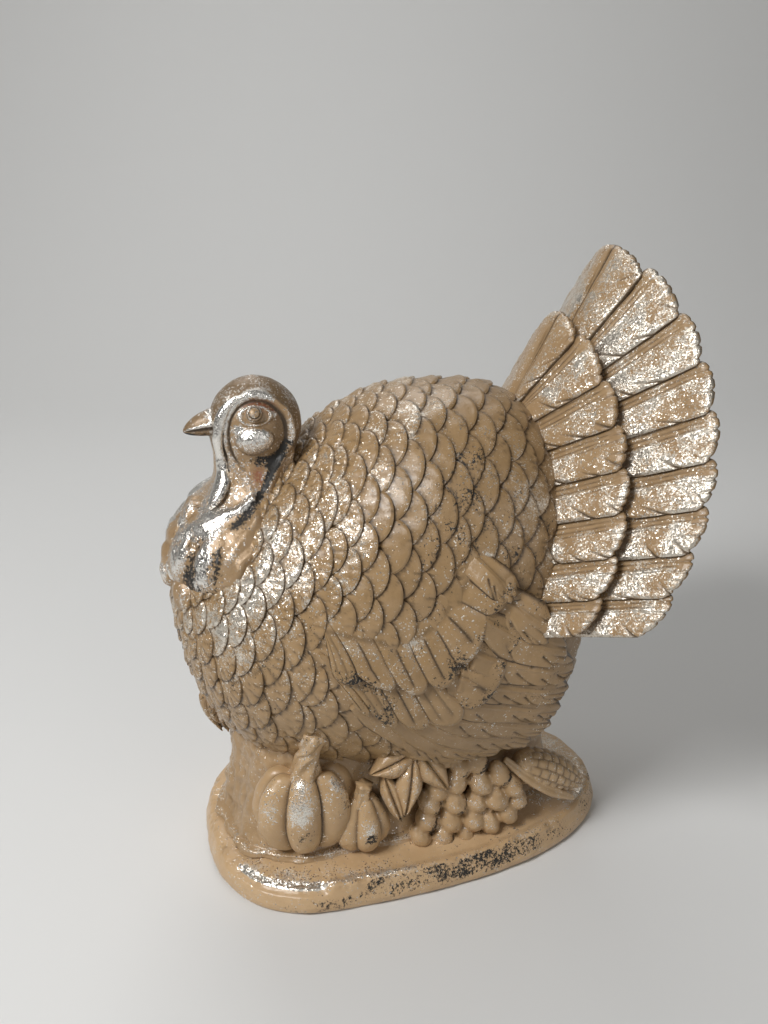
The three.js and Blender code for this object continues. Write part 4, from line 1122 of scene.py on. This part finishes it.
def tail_feather(fan, n, seed):
    """Front and back grids of one tail feather, with its shares of brown wash and painted shade and of leaf.
    """
    lot = np.random.default_rng(seed).uniform(0.0, 1.0, 30)
    t, a = np.meshgrid(np.linspace(0, 1, 84) ** 0.85, np.linspace(0, 1, 53), indexing="ij")
    width = np.linalg.norm(fan_edge(fan, n, np.array(1.0)) - fan_edge(fan, n - 1, np.array(1.0)))
    length = fan["length"]
    down = np.abs(2.0 * a - 1.0) if n == 0 else (a if n > 0 else 1.0 - a)
    tip_nicks = np.zeros_like(a)
    nick_at = [0.16 + 0.22 * k + 0.09 * lot[k] for k in range(TIP_NICKS)]
    for k, place in enumerate(nick_at):
        tip_nicks += np.maximum(0.0, 1.0 - np.abs(down - place) / 0.05) * (0.5 + 0.8 * lot[4 + k])
    bulge = (10.0 if n == 0 else 2.6) * (0.75 - (2.0 * a - 1.0) ** 2)
    bulge = bulge - 0.9 * tip_nicks * t ** 20 - 1.6 * np.abs(2.0 * a - 1.0) ** 8
    reach = t + bulge * t ** 5 / length
    edge_a, edge_b = fan_edge(fan, n - 1, reach), fan_edge(fan, n, reach)
    share = a if n == 0 else (1.0 + FEATHER_TUCK) * a - (FEATHER_TUCK if n > 0 else 0.0)
    share = share[..., None]
    at = edge_a * (1.0 - share) + edge_b * share
    u, v = down * width, reach * length
    quill = 0.16 if n == 0 else 0.36 + 0.08 * lot[28]
    drift = quill * (1.0 - 0.16 * smooth(t, 0.4, 1.0))
    vane = smooth(down, drift, drift + 0.05)
    ridge_zone = (1.0 - vane) * smooth(down, 0.03, 0.10)
    count = 2.5 if n == 0 else 3.5
    grooves = np.abs(np.sin(np.pi * count * np.clip(down / drift, 0.0, 1.0))) ** 0.55
    grooves = (1.0 - grooves) * ridge_zone * between(t, 0.0, 0.08, 0.80 + 0.1 * lot[29], 0.98)
    rachis = bell((down - drift) * width, 0.0, 0.75) * fading(t, 0.84, 1.0)
    cuts = np.zeros_like(a)
    for k in range(VANE_CUTS):
        start = 0.24 + 0.24 * k + 0.10 * lot[8 + k]
        deep = 1.25 if lot[12 + k] > 0.3 else 0.45
        inner = quill + 0.12 + 0.34 * lot[16 + k]
        begin = (1.02 * width, start * length)
        end = (inner * width, (start - 0.13 - 0.12 * lot[20 + k]) * length)
        cuts = np.maximum(cuts, carve(u, v, begin, end, 1.0 + 0.5 * lot[24 + k], deep))
    for k, place in enumerate(nick_at):
        across = place * width
        end = (across - 0.8, (0.93 - 0.10 * lot[4 + k]) * length)
        cuts = np.maximum(cuts, carve(u, v, (across, 1.07 * length), end, 0.8, 0.8))
    cuts = cuts * smooth(down, 0.0, 0.05)
    step = FEATHER_STEP * down
    rise = step + 0.7 * np.sin(np.pi * np.clip((down - drift) / (1.0 - drift), 0, 1)) ** 0.8
    rise = rise - 0.8 * grooves + 0.65 * rachis - cuts
    rim = np.minimum((1.0 - t) * length, (1.0 - down) * width)
    rise = rise - 0.8 * fading(rim, 0.0, 1.5) - 0.7 * fading(u, 0.0, 2.0)
    flat = fan_point(at[..., 0], at[..., 1])
    rise = rise + 0.3 * lumps(flat, 9.0, seed % 9, 3)
    front = flat + (fan["front"] - rise)[..., None] * REARWARD
    ribs = np.maximum(0.0, np.cos(2 * np.pi * (9.0 * reach - 3.2 * np.abs(a - 0.5)))) ** 4
    ribs = ribs * smooth(np.abs(a - 0.5), 0.05, 0.12) * fading(t, 0.9, 1.0)
    spine = bell((a - 0.5) * width, 0.0, 1.1) * fading(t, 0.8, 1.0)
    swell = (1.0 - 0.5 * t) * (0.8 * (1.0 - (2.0 * a - 1.0) ** 2) + 0.8 * spine - 0.35 * ribs)
    thick = (1.0 - t) * (fan["thick"] - 0.6) + t * (TIP_THICK - step)
    back = flat + (fan["front"] + thick + swell)[..., None] * REARWARD
    # Brown wash in the grooves and cuts. The dark bands at the side edges, widest where the neighbouring
    # feather covers this one, are painted shade.
    wash_and_shade = strongest(
        0.8 * grooves, np.minimum(0.9 * cuts, 1.0), bell(u, 0.0, 1.3), 0.42 * bell(u, 0.0, 4.2),
        0.8 * fading((1.0 - down) * width, 0.0, 0.45), 0.5 * bell((down - drift - 0.04) * width, 0.0, 0.45),
    )
    silver = 0.385 + 0.135 * vane + 0.14 * rachis + 0.05 * fading(t, 0.2, 0.7) - 0.05 * grooves
    silver = silver + 0.08 * bell(rim, 0.0, 1.2) + 0.13 * lumps(flat, 16.0, 3 + seed % 5)
    # The back's dark side edges, where the feathers overlap, are painted shade.
    rear_wash_and_shade = np.maximum(0.5 * ribs, 0.9 * fading(np.minimum(a, 1.0 - a) * width, 0.0, 1.4))
    return front, back, wash_and_shade, silver, rear_wash_and_shade


for fan, row in ((OUTER, "outer"), (INNER, "inner")):
    for n in range(-fan["sides"], fan["sides"] + 1):
        place = "middle" if n == 0 else f"{'left' if n > 0 else 'right'}_{abs(n)}"
        front, back, wash_and_shade, silver, rear_wash_and_shade = tail_feather(fan, n, 40 + n + (50 if row == "inner" else 0))
        points, faces = slab(front, back)
        if row == "inner":
            tone = -0.16 + 0.11 * min(abs(n), 5) / 5.0
        else:
            tone = -0.07 if n == 0 else 0.0
        leaf = np.append((silver + tone).reshape(-1), np.full(back[..., 0].size, 0.34))
        wear = 0.26 + near(points * np.array([1.0 if n >= 0 else -1.0, 1.0, 1.0]), TAIL_BLACK)
        node = f"tail_{row}_feather_{place}"
        cast_piece(
            f"{node}_cast", points, faces, [node], tail_paint,
            wash_and_shade=np.append(wash_and_shade.reshape(-1), rear_wash_and_shade.reshape(-1)), leaf=leaf, wear=wear,
        )

# Head and neck: a smooth hooded head with a sunk face under a rolled rim, cast with the neck.
# Pewter-toned paint nearly covered in bright leaf, with rust in the face, painted shade just inside the rim,
# and black under the cheek that is partly painted shadow.
HEAD = np.array([  # height, middle y, half width and half depth of each row
    [146, -80, 8, 8], [150, -83, 34, 26], [163, -81, 41, 29], [177, -75.8, 35.5, 26.5],
    [190, -70, 23.5, 19], [203, -68.5, 17, 18], [216, -67.5, 18, 20.5], [228, -67.5, 15, 17.8],
    [236, -67.8, 8, 10], [239.5, -68, 0, 0],
])
head_leaf = leafed_paint(
    "head_leaf", (0.33, 0.215, 0.11), (0.38, 0.255, 0.14), (0.045, 0.028, 0.014), (0.83, 0.80, 0.75),
    leaf_rough=0.18, paint_metal=0.2, tilt=0.34, crinkle=0.55,
)


def trace(x, y, path, wide):
    """Ridge of the given half width along a path of points, from 0 to 1."""
    best = np.full(x.shape, 1e9)
    for (ax, ay), (bx, by) in zip(path[:-1], path[1:]):
        dx, dy = bx - ax, by - ay
        t = np.clip(((x - ax) * dx + (y - ay) * dy) / (dx * dx + dy * dy), 0.0, 1.0)
        best = np.minimum(best, np.hypot(x - ax - t * dx, y - ay - t * dy))
    return bell(best, 0.0, wide)


levels = np.concatenate([np.linspace(0.03, 0.40, 66), np.linspace(0.404, 0.995, 194)])
level, turn = ring_grid(levels, 360)
form = curve(HEAD, level)
head = np.stack([form[..., 2] * np.sin(turn), form[..., 1] - form[..., 3] * np.cos(turn), form[..., 0]], -1)
facing_head = unit(np.cross(np.roll(head, -1, 1) - np.roll(head, 1, 1), np.gradient(head, axis=0)))
axis_at = np.stack([0.0 * turn, form[..., 1], form[..., 0]], -1)
facing_head *= np.sign((facing_head * (head - axis_at)).sum(-1) + 1e-9)[..., None]
round_deg = np.abs((np.degrees(turn) + 180.0) % 360.0 - 180.0)
z = head[..., 2]
flat_x = round_deg * 0.30
face = (np.abs((round_deg - 86.0) / 43.0) ** 2.4 + np.abs((z - 216.5) / 16.6) ** 2.4) ** (1 / 2.4)
high = smooth(z, 199.0, 207.0)
sunk_face = fading(face, 0.90, 1.01) * high
rim = bell(face, 1.08, 0.075) * smooth(z, 206.0, 214.0)
rear_line = [(38.4, 226), (39.6, 219), (39.6, 212), (37.5, 206), (33.5, 199.5), (30, 193.5)]
rear_rim = trace(flat_x, z, rear_line, 1.7)
cheek_away = np.sqrt(((round_deg - 82.0) * 0.295 / 7.6) ** 2 + ((z - 214.2) / 6.6) ** 2)
cheek = np.clip(1.0 - cheek_away ** 2, 0.0, 1.0) ** 0.6
under_cheek = bell(round_deg, 92.0, 22.0) * bell(z, 205.0, 3.2)
eye_away = np.hypot((round_deg - 84.0) * 0.235, (z - 225.6) * 1.3)
lids = 0.6 * bell(eye_away, 5.2, 0.7)
snood_groove = trace(flat_x, z, [(13.2, 227), (12.2, 222), (11.9, 214), (12.0, 206), (12.6, 200)], 1.2)
panel_fold = trace(flat_x, z, [(13.8, 210), (17.0, 205), (20.8, 198), (24.0, 191), (27, 183)], 1.5)
neck_ridge = trace(flat_x, z, [(42.9, 206), (42.0, 193), (37.0, 186), (31, 178), (26, 169), (25, 160)], 1.7)
bright_fold = trace(flat_x, z, [(24.0, 190.5), (20.0, 186.5), (15.0, 183.5), (11, 179)], 1.5)
loose_fold = trace(flat_x, z, [(27, 184), (24, 176), (21, 168)], 1.8)
wrinkle = lumps(head, 9.0, 8, 3)
push = 0.7 * rim - 1.6 * sunk_face + 3.0 * cheek - 0.8 * under_cheek + lids * high + 1.4 * rear_rim
push = push - 0.7 * snood_groove + 0.5 * panel_fold + 1.5 * neck_ridge + 1.7 * bright_fold + 1.1 * loose_fold
push = push + (0.08 + 0.55 * fading(z, 172.0, 195.0)) * wrinkle
droop = fading(z, 170.0, 184.0) * fading(round_deg, 58.0, 80.0)
drape = lumps(head * np.array([1.0, 1.0, 0.5]), 8.0, 8, 2)
push = push + 1.7 * droop * drape
head = head + push[..., None] * facing_head
points, faces = ring_skin(head)
hood = smooth(face, 1.0, 1.12) * smooth(z, 203.0, 212.0)
leaf = 0.42 - 0.03 * hood
leaf = leaf + 0.5 * bell(face, 1.05, 0.07) * smooth(z, 216.0, 224.0) * fading(round_deg, 104.0, 122.0)
leaf = leaf + 0.10 * rear_rim - 0.10 * sunk_face * (1.0 - cheek)
leaf = leaf + (0.06 + 0.22 * smooth(z, 212.0, 218.0)) * smooth(cheek, 0.12, 0.5) * fading(z, 219.0, 223.0)
leaf = leaf + 0.45 * lids * high
leaf = leaf + 0.5 * bell(round_deg, 62.0, 7.0) * bell(z, 219.0, 2.2)
leaf = leaf + 0.45 * bell(round_deg, 112.0, 6.0) * bell(z, 225.5, 1.8)
leaf = leaf + 0.5 * bright_fold + 0.3 * bell(round_deg, 40.0, 16.0) * bell(z, 180.0, 6.0) + 0.12 * loose_fold
leaf = leaf - 0.14 * fading(z, 178.0, 192.0) * smooth(round_deg, 48.0, 64.0)
leaf = leaf + droop * (0.10 + 0.30 * drape)
streak = trace(flat_x, z, [(38.0, 212), (34, 204), (30.0, 197), (26.5, 191), (24.0, 186), (21, 182)], 2.4)
# The black just under the cheek is partly black paint and partly painted shadow below the cheek's bulge.
wear = 0.285 + 0.05 * hood + 0.27 * under_cheek + 0.29 * streak
wear = wear + 0.10 * cheek * fading(z, 208.0, 214.0) + 0.18 * snood_groove * fading(z, 222.0, 227.0)
wear = wear + 0.10 * between(round_deg, 30.0, 50.0, 80.0, 95.0) * fading(z, 166.0, 178.0)
wear = wear + droop * (0.12 - 0.14 * drape)
rust = 1.1 * sunk_face * bell(z, 231.0, 3.2) * smooth(round_deg, 56.0, 70.0)
rust = rust + 0.7 * sunk_face * bell(round_deg, 112.0, 9.0) * bell(z, 228.0, 4.0)
rust = rust + bell(round_deg, 88.0, 9.0) * bell(z, 199.0, 4.0)
# The brown ring just inside the rim is painted shade under the rim's overhang.
wash_and_shade = 0.5 * hood + 0.6 * sunk_face * between(face, 0.82, 0.93, 0.97, 1.02) + 0.5 * snood_groove
wash_and_shade = wash_and_shade + (0.22 + 0.25 * smooth(round_deg, 96.0, 116.0)) * sunk_face * fading(cheek, 0.1, 0.5)
cast_piece(
    "head_and_neck_cast", points, faces, ["head_and_neck"], head_leaf,
    wash_and_shade=capped(wash_and_shade), leaf=capped(leaf), wear=capped(wear), rust=capped(np.clip(rust, 0.0, 1.0)),
    crevice=(4, 0.9),
)

# Eyes: small domed studs set in ringed sockets on each side of the head, leafed bright like the head.
# Each has a raised pupil in a sunk iris ring.
EYE_AT = np.array([13.6, -69.5, 225.4])
EYE_RADIUS = 4.2
eye_aim = unit(np.array([0.86, -0.10, 0.5]))
eye_side = unit(np.cross(eye_aim, np.array([0.0, 0.0, 1.0])))
eye_up = np.cross(eye_side, eye_aim)
polar, turn = ring_grid(np.linspace(0.02, np.pi - 0.02, 72), 56)
iris = bell(polar, 0.66, 0.09)
lid = bell(polar, 1.08, 0.11)
size = EYE_RADIUS * (1.0 - 0.07 * iris - 0.10 * smooth(polar, 0.7, 1.2) + 0.03 * bell(polar, 0.0, 0.45))
eye = EYE_AT + size[..., None] * (
    np.cos(polar)[..., None] * eye_aim
    + (np.sin(polar) * np.cos(turn))[..., None] * eye_side
    + (np.sin(polar) * np.sin(turn))[..., None] * eye_up
)
points, faces = ring_skin(eye)
for name, turned in HANDS:
    cast_piece(
        f"eye_{name}_cast", points * turned, faces, [f"eye_{name}"], head_leaf,
        wash_and_shade=capped(0.95 * iris + 0.9 * lid), leaf=0.52, wear=0.24,
    )

# Beak: a short stout cone with a mouth line down each side, bonded to the front of the face.
# Pewter paint above, bright along the mouth line, with black painted shade underneath.
BEAK_ROOT = np.array([0.0, -83.5, 219.2])
BEAK_LENGTH = 15.5
BEAK_RADIUS = 6.6
along, turn = ring_grid(np.linspace(0.0, 0.995, 64), 96)
size = BEAK_RADIUS * (1.0 - along ** 2.1) ** 0.65 + 0.15
mouth_turn = np.abs(np.degrees(turn) - 180.0) - 84.0
mouth = bell(mouth_turn, 0.0, 8.0) * between(along, 0.05, 0.3, 0.82, 0.98)
lip = bell(mouth_turn, 16.0, 8.0) * fading(along, 0.85, 1.0)
cere = bell(along, 0.24, 0.06)
size = size * (1.0 - 0.10 * mouth + 0.05 * lip + 0.06 * cere)
drop = -0.10 * along * BEAK_LENGTH - 1.4 * along ** 3
beak = np.stack([
    0.92 * size * np.sin(turn),
    BEAK_ROOT[1] - along * BEAK_LENGTH,
    BEAK_ROOT[2] + drop + size * np.where(np.cos(turn) > 0, 0.96, 0.8) * np.cos(turn),
], -1)
points, faces = ring_skin(beak)
# The black underneath is painted shade on the beak's lower side.
underside_shade = smooth(-np.cos(turn), 0.1, 0.6)
cast_piece(
    "beak_cast", points, faces, ["beak"], head_leaf, wash_and_shade=capped(0.9 * mouth + 0.4),
    leaf=capped(0.36 + 0.5 * lip - 0.1 * underside_shade + 0.3 * cere), wear=capped(0.25 + 0.24 * underside_shade),
    crevice=(3, 0.4),
)

# Snood: the fleshy strip that leaves the hood's rim over the brow, hangs beside the beak and ends in a bulb.
# Cast in relief on the face and leafed bright, with rust on the bulb and black in the groove beside it.
SNOOD_LINE = np.array([  # degrees round from the beak, height and half width
    [66, 232.8, 0.5], [53, 231.8, 1.5], [43, 228.6, 2.3], [35.5, 222.5, 2.7], [32.5, 214, 2.5],
    [32, 206, 2.4], [33, 200.5, 2.9], [34.5, 196.5, 4.3], [35.5, 192.5, 4.9], [36, 189, 4.3],
    [36, 186.4, 2.4], [36, 185.4, 0.3],
])
along, turn = ring_grid(np.linspace(0.0, 1.0, 190), 64)
line = curve(SNOOD_LINE, along[:, 0])
head_rows = curve(HEAD, np.linspace(0, 1, 600))
middle_y, half_x, half_y = (np.interp(line[:, 1], head_rows[:, 0], head_rows[:, k]) for k in (1, 2, 3))
beside = np.radians(line[:, 0])
path = np.stack([half_x * np.sin(beside), middle_y - half_y * np.cos(beside), line[:, 1]], -1)
outward = unit(np.stack([np.sin(beside) / half_x, -np.cos(beside) / half_y, 0.0 * beside], -1))
ahead = unit(np.gradient(path, axis=0))
sideways = np.cross(ahead, outward)
size = np.maximum(line[:, 2], 0.25)
proud = np.minimum(0.85 * size, 2.3) + 0.6 * np.maximum(size - 2.9, 0.0)
snood = path[:, None] + (size[:, None] * np.cos(turn))[..., None] * sideways[:, None]
away = 0.5 + 1.9 * smooth(along[:, 0], 0.62, 0.75)
snood += (proud[:, None] * np.sin(turn) + away[:, None])[..., None] * outward[:, None]
snood += 0.35 * lumps(snood, 5.0, 9)[..., None] * outward[:, None]
points, faces = ring_skin(snood)
bulb = smooth(along, 0.60, 0.72)
edge_on = smooth(np.cos(turn) * np.sign(sideways[:, None, 0]), 0.35, 0.9)
rust = 0.9 * bulb * bell(line[:, None, 1], 195.0, 3.0) * smooth(np.sin(turn), 0.2, 0.7)
cast_piece(
    "snood_cast", points, faces, ["snood"], head_leaf,
    leaf=capped(0.80 - 0.22 * bulb),
    wear=capped(0.31 + 0.02 * bulb + 0.14 * edge_on * smooth(along, 0.3, 0.5)),
    rust=capped(rust), crevice=(4, 0.7),
)

# Wattle: a bunch of soft drooping lumps on the neck front, modelled in clay and cast with the neck.
# Leafed silver on the swells, with tan and black left between them.
WATTLE_LUMPS = [  # x, y, z and radius
    (0, -100, 167, 10.5), (0, -103, 159, 10.5), (0, -105, 151, 10), (3, -94, 176, 9.5), (13, -99, 160, 11),
    (24, -92, 156, 10.5), (16, -101, 147, 10), (10, -92, 175, 9), (32, -84, 161, 9), (27, -83, 170, 8),
]
polar, turn = ring_grid(np.linspace(0.05, np.pi - 0.05, 24), 36)
drops = []
for x, y, z, radius in WATTLE_LUMPS + [(-x, y, z, radius) for x, y, z, radius in WATTLE_LUMPS if x]:
    girth = 0.94 * radius * np.sin(polar)
    drops.append(ring_skin(np.stack([
        x + girth * np.cos(turn), y + girth * np.sin(turn), z + 0.94 * radius * np.cos(polar),
    ], -1)))
points, faces, out = fuse(drops, 0.8, 10)
folds = lumps(points * np.array([1.0, 1.0, 0.45]), 8.0, 12, 2)
points += (1.2 * folds + 0.3 * lumps(points, 5.0, 5, 1))[:, None] * out
swell = smooth(folds + 0.6 * lumps(points, 9.0, 13), -0.5, 0.9)
cast_piece(
    "wattle_cast", points, faces, ["wattle"], head_leaf, wash_and_shade=0.5 * fading(folds, -0.8, 0.0),
    leaf=0.32 + 0.34 * swell - 0.1 * smooth(-points[:, 1], 100.0, 108.0), wear=0.42 - 0.12 * swell,
    crevice=(9, 0.5),
)

# Beard: the tuft of hair-like feathers that hangs from the breast, cast in one with the trunk.
# Tan paint, mostly worn to black.
STRANDS = 17
beard_paint = leafed_paint(
    "beard_paint", (0.34, 0.22, 0.112), (0.39, 0.26, 0.138), (0.06, 0.037, 0.017), (0.82, 0.77, 0.70),
)
strands = []
random = np.random.default_rng(6)
for n in range(STRANDS):
    turn = 2 * np.pi * n / STRANDS + random.normal(0, 0.15)
    out = 1.0 if n % 3 else 0.45
    x, y = 5.2 * out * math.cos(turn), 4.8 * out * math.sin(turn)
    end = (0.35 * x + random.normal(0, 0.6), -93 + 0.35 * y + 4.0, 62.5 + random.uniform(-0.5, 5.0))
    path = [(0.6 * x, -91 + 0.6 * y, 91), (x, -93.5 + y, 83), (0.85 * x, -92.5 + 0.8 * y, 73), end]
    strands.append(stalk(path, [1.2, 2.2, 1.8, 0.3], around=12, along=26, ridges=3, ridge=0.12))
points, faces = merge(strands)
cast_piece(
    "beard_tuft_cast", points, faces, ["beard_tuft"], beard_paint,
    wash_and_shade=0.15, leaf=0.38, wear=0.40 + 0.05 * fading(points[:, 2], 66.0, 80.0), crevice=(3, 0.5),
)

# Stage: a pale matt floor that turns up into a pale wall behind the figure, as seen from the camera.
# Three square lamps give soft studio light: a key in front, a fill beside it and a rim lamp behind.
STAGE_TURN = math.radians(75.0)
STAGE_HALF_WIDTH = 3.0
FLOOR_STOPS = (-2.4, -1.0, 0.0, 0.7)
BEND_RADIUS = 0.5
BEND_STEPS = 12
WALL_TOP = 2.6
LAMP_AIM = Vector((0.0, 0.0, 0.13))
LAMPS = (  # name, place, width and watts
    ("key", (0.50, -0.80, 1.05), 0.42, 13.5),
    ("fill", (1.05, 0.40, 0.60), 0.6, 1.6),
    ("rim", (-0.75, -0.05, 1.10), 0.6, 4.0),
)
sweep = [(stop, 0.0) for stop in FLOOR_STOPS]
for n in range(1, BEND_STEPS + 1):
    bend = n * math.pi / (2 * BEND_STEPS)
    sweep.append((FLOOR_STOPS[-1] + BEND_RADIUS * math.sin(bend), BEND_RADIUS * (1.0 - math.cos(bend))))
sweep.append((FLOOR_STOPS[-1] + BEND_RADIUS, WALL_TOP))
corners = []
for depth, rise in sweep:
    for wide in (-STAGE_HALF_WIDTH, STAGE_HALF_WIDTH):
        x = -math.sin(STAGE_TURN) * depth + math.cos(STAGE_TURN) * wide
        y = math.cos(STAGE_TURN) * depth + math.sin(STAGE_TURN) * wide
        corners.append((x, y, rise))
sides = [(2 * n, 2 * n + 1, 2 * n + 3, 2 * n + 2) for n in range(len(sweep) - 1)]
floor_mesh = bpy.data.meshes.new("floor")
floor_mesh.from_pydata(corners, [], sides)
floor_mesh.shade_smooth()
floor = bpy.data.objects.new("floor", floor_mesh)
bpy.context.collection.objects.link(floor)
floor_paint = bpy.data.materials.new("floor_paint")
floor_paint.use_nodes = True
floor_paint.node_tree.nodes["Principled BSDF"].inputs["Base Color"].default_value = (0.72, 0.72, 0.71, 1.0)
floor_paint.node_tree.nodes["Principled BSDF"].inputs["Roughness"].default_value = 0.7
floor_mesh.materials.append(floor_paint)

world = bpy.data.worlds.new("studio")
world.use_nodes = True
world.node_tree.nodes["Background"].inputs["Color"].default_value = (0.95, 0.93, 0.89, 1.0)
world.node_tree.nodes["Background"].inputs["Strength"].default_value = 0.15
bpy.context.scene.world = world
for name, place, size, watts in LAMPS:
    lamp = bpy.data.lights.new(name, "AREA")
    lamp.energy = watts
    lamp.size = size
    holder = bpy.data.objects.new(name, lamp)
    holder.location = place
    holder.rotation_euler = (LAMP_AIM - Vector(place)).to_track_quat("-Z", "Y").to_euler()
    bpy.context.collection.objects.link(holder)

# Camera: at the photograph's place, on the bird's left and a little ahead of it, looking down at the figure.
# Its focal length is the photograph's, in pixels of a frame 1024 high, on a sensor 36 mm high.
FOCAL_PIXELS = 1100.0
FRAME_PIXELS = 1024.0
SENSOR_MM = 36.0
CAMERA_AT = (0.461927, -0.132406, 0.364955)
CAMERA_DOWN = math.radians(22.308)
lens = bpy.data.cameras.new("camera")
lens.sensor_fit = "VERTICAL"
lens.sensor_height = SENSOR_MM
lens.lens = FOCAL_PIXELS / FRAME_PIXELS * SENSOR_MM
lens.clip_start = 0.01
camera = bpy.data.objects.new("camera", lens)
camera.location = CAMERA_AT
camera.rotation_euler = (math.pi / 2.0 - CAMERA_DOWN, 0.0, STAGE_TURN)
bpy.context.collection.objects.link(camera)
bpy.context.scene.camera = camera
bpy.context.scene.view_settings.view_transform = "Standard"
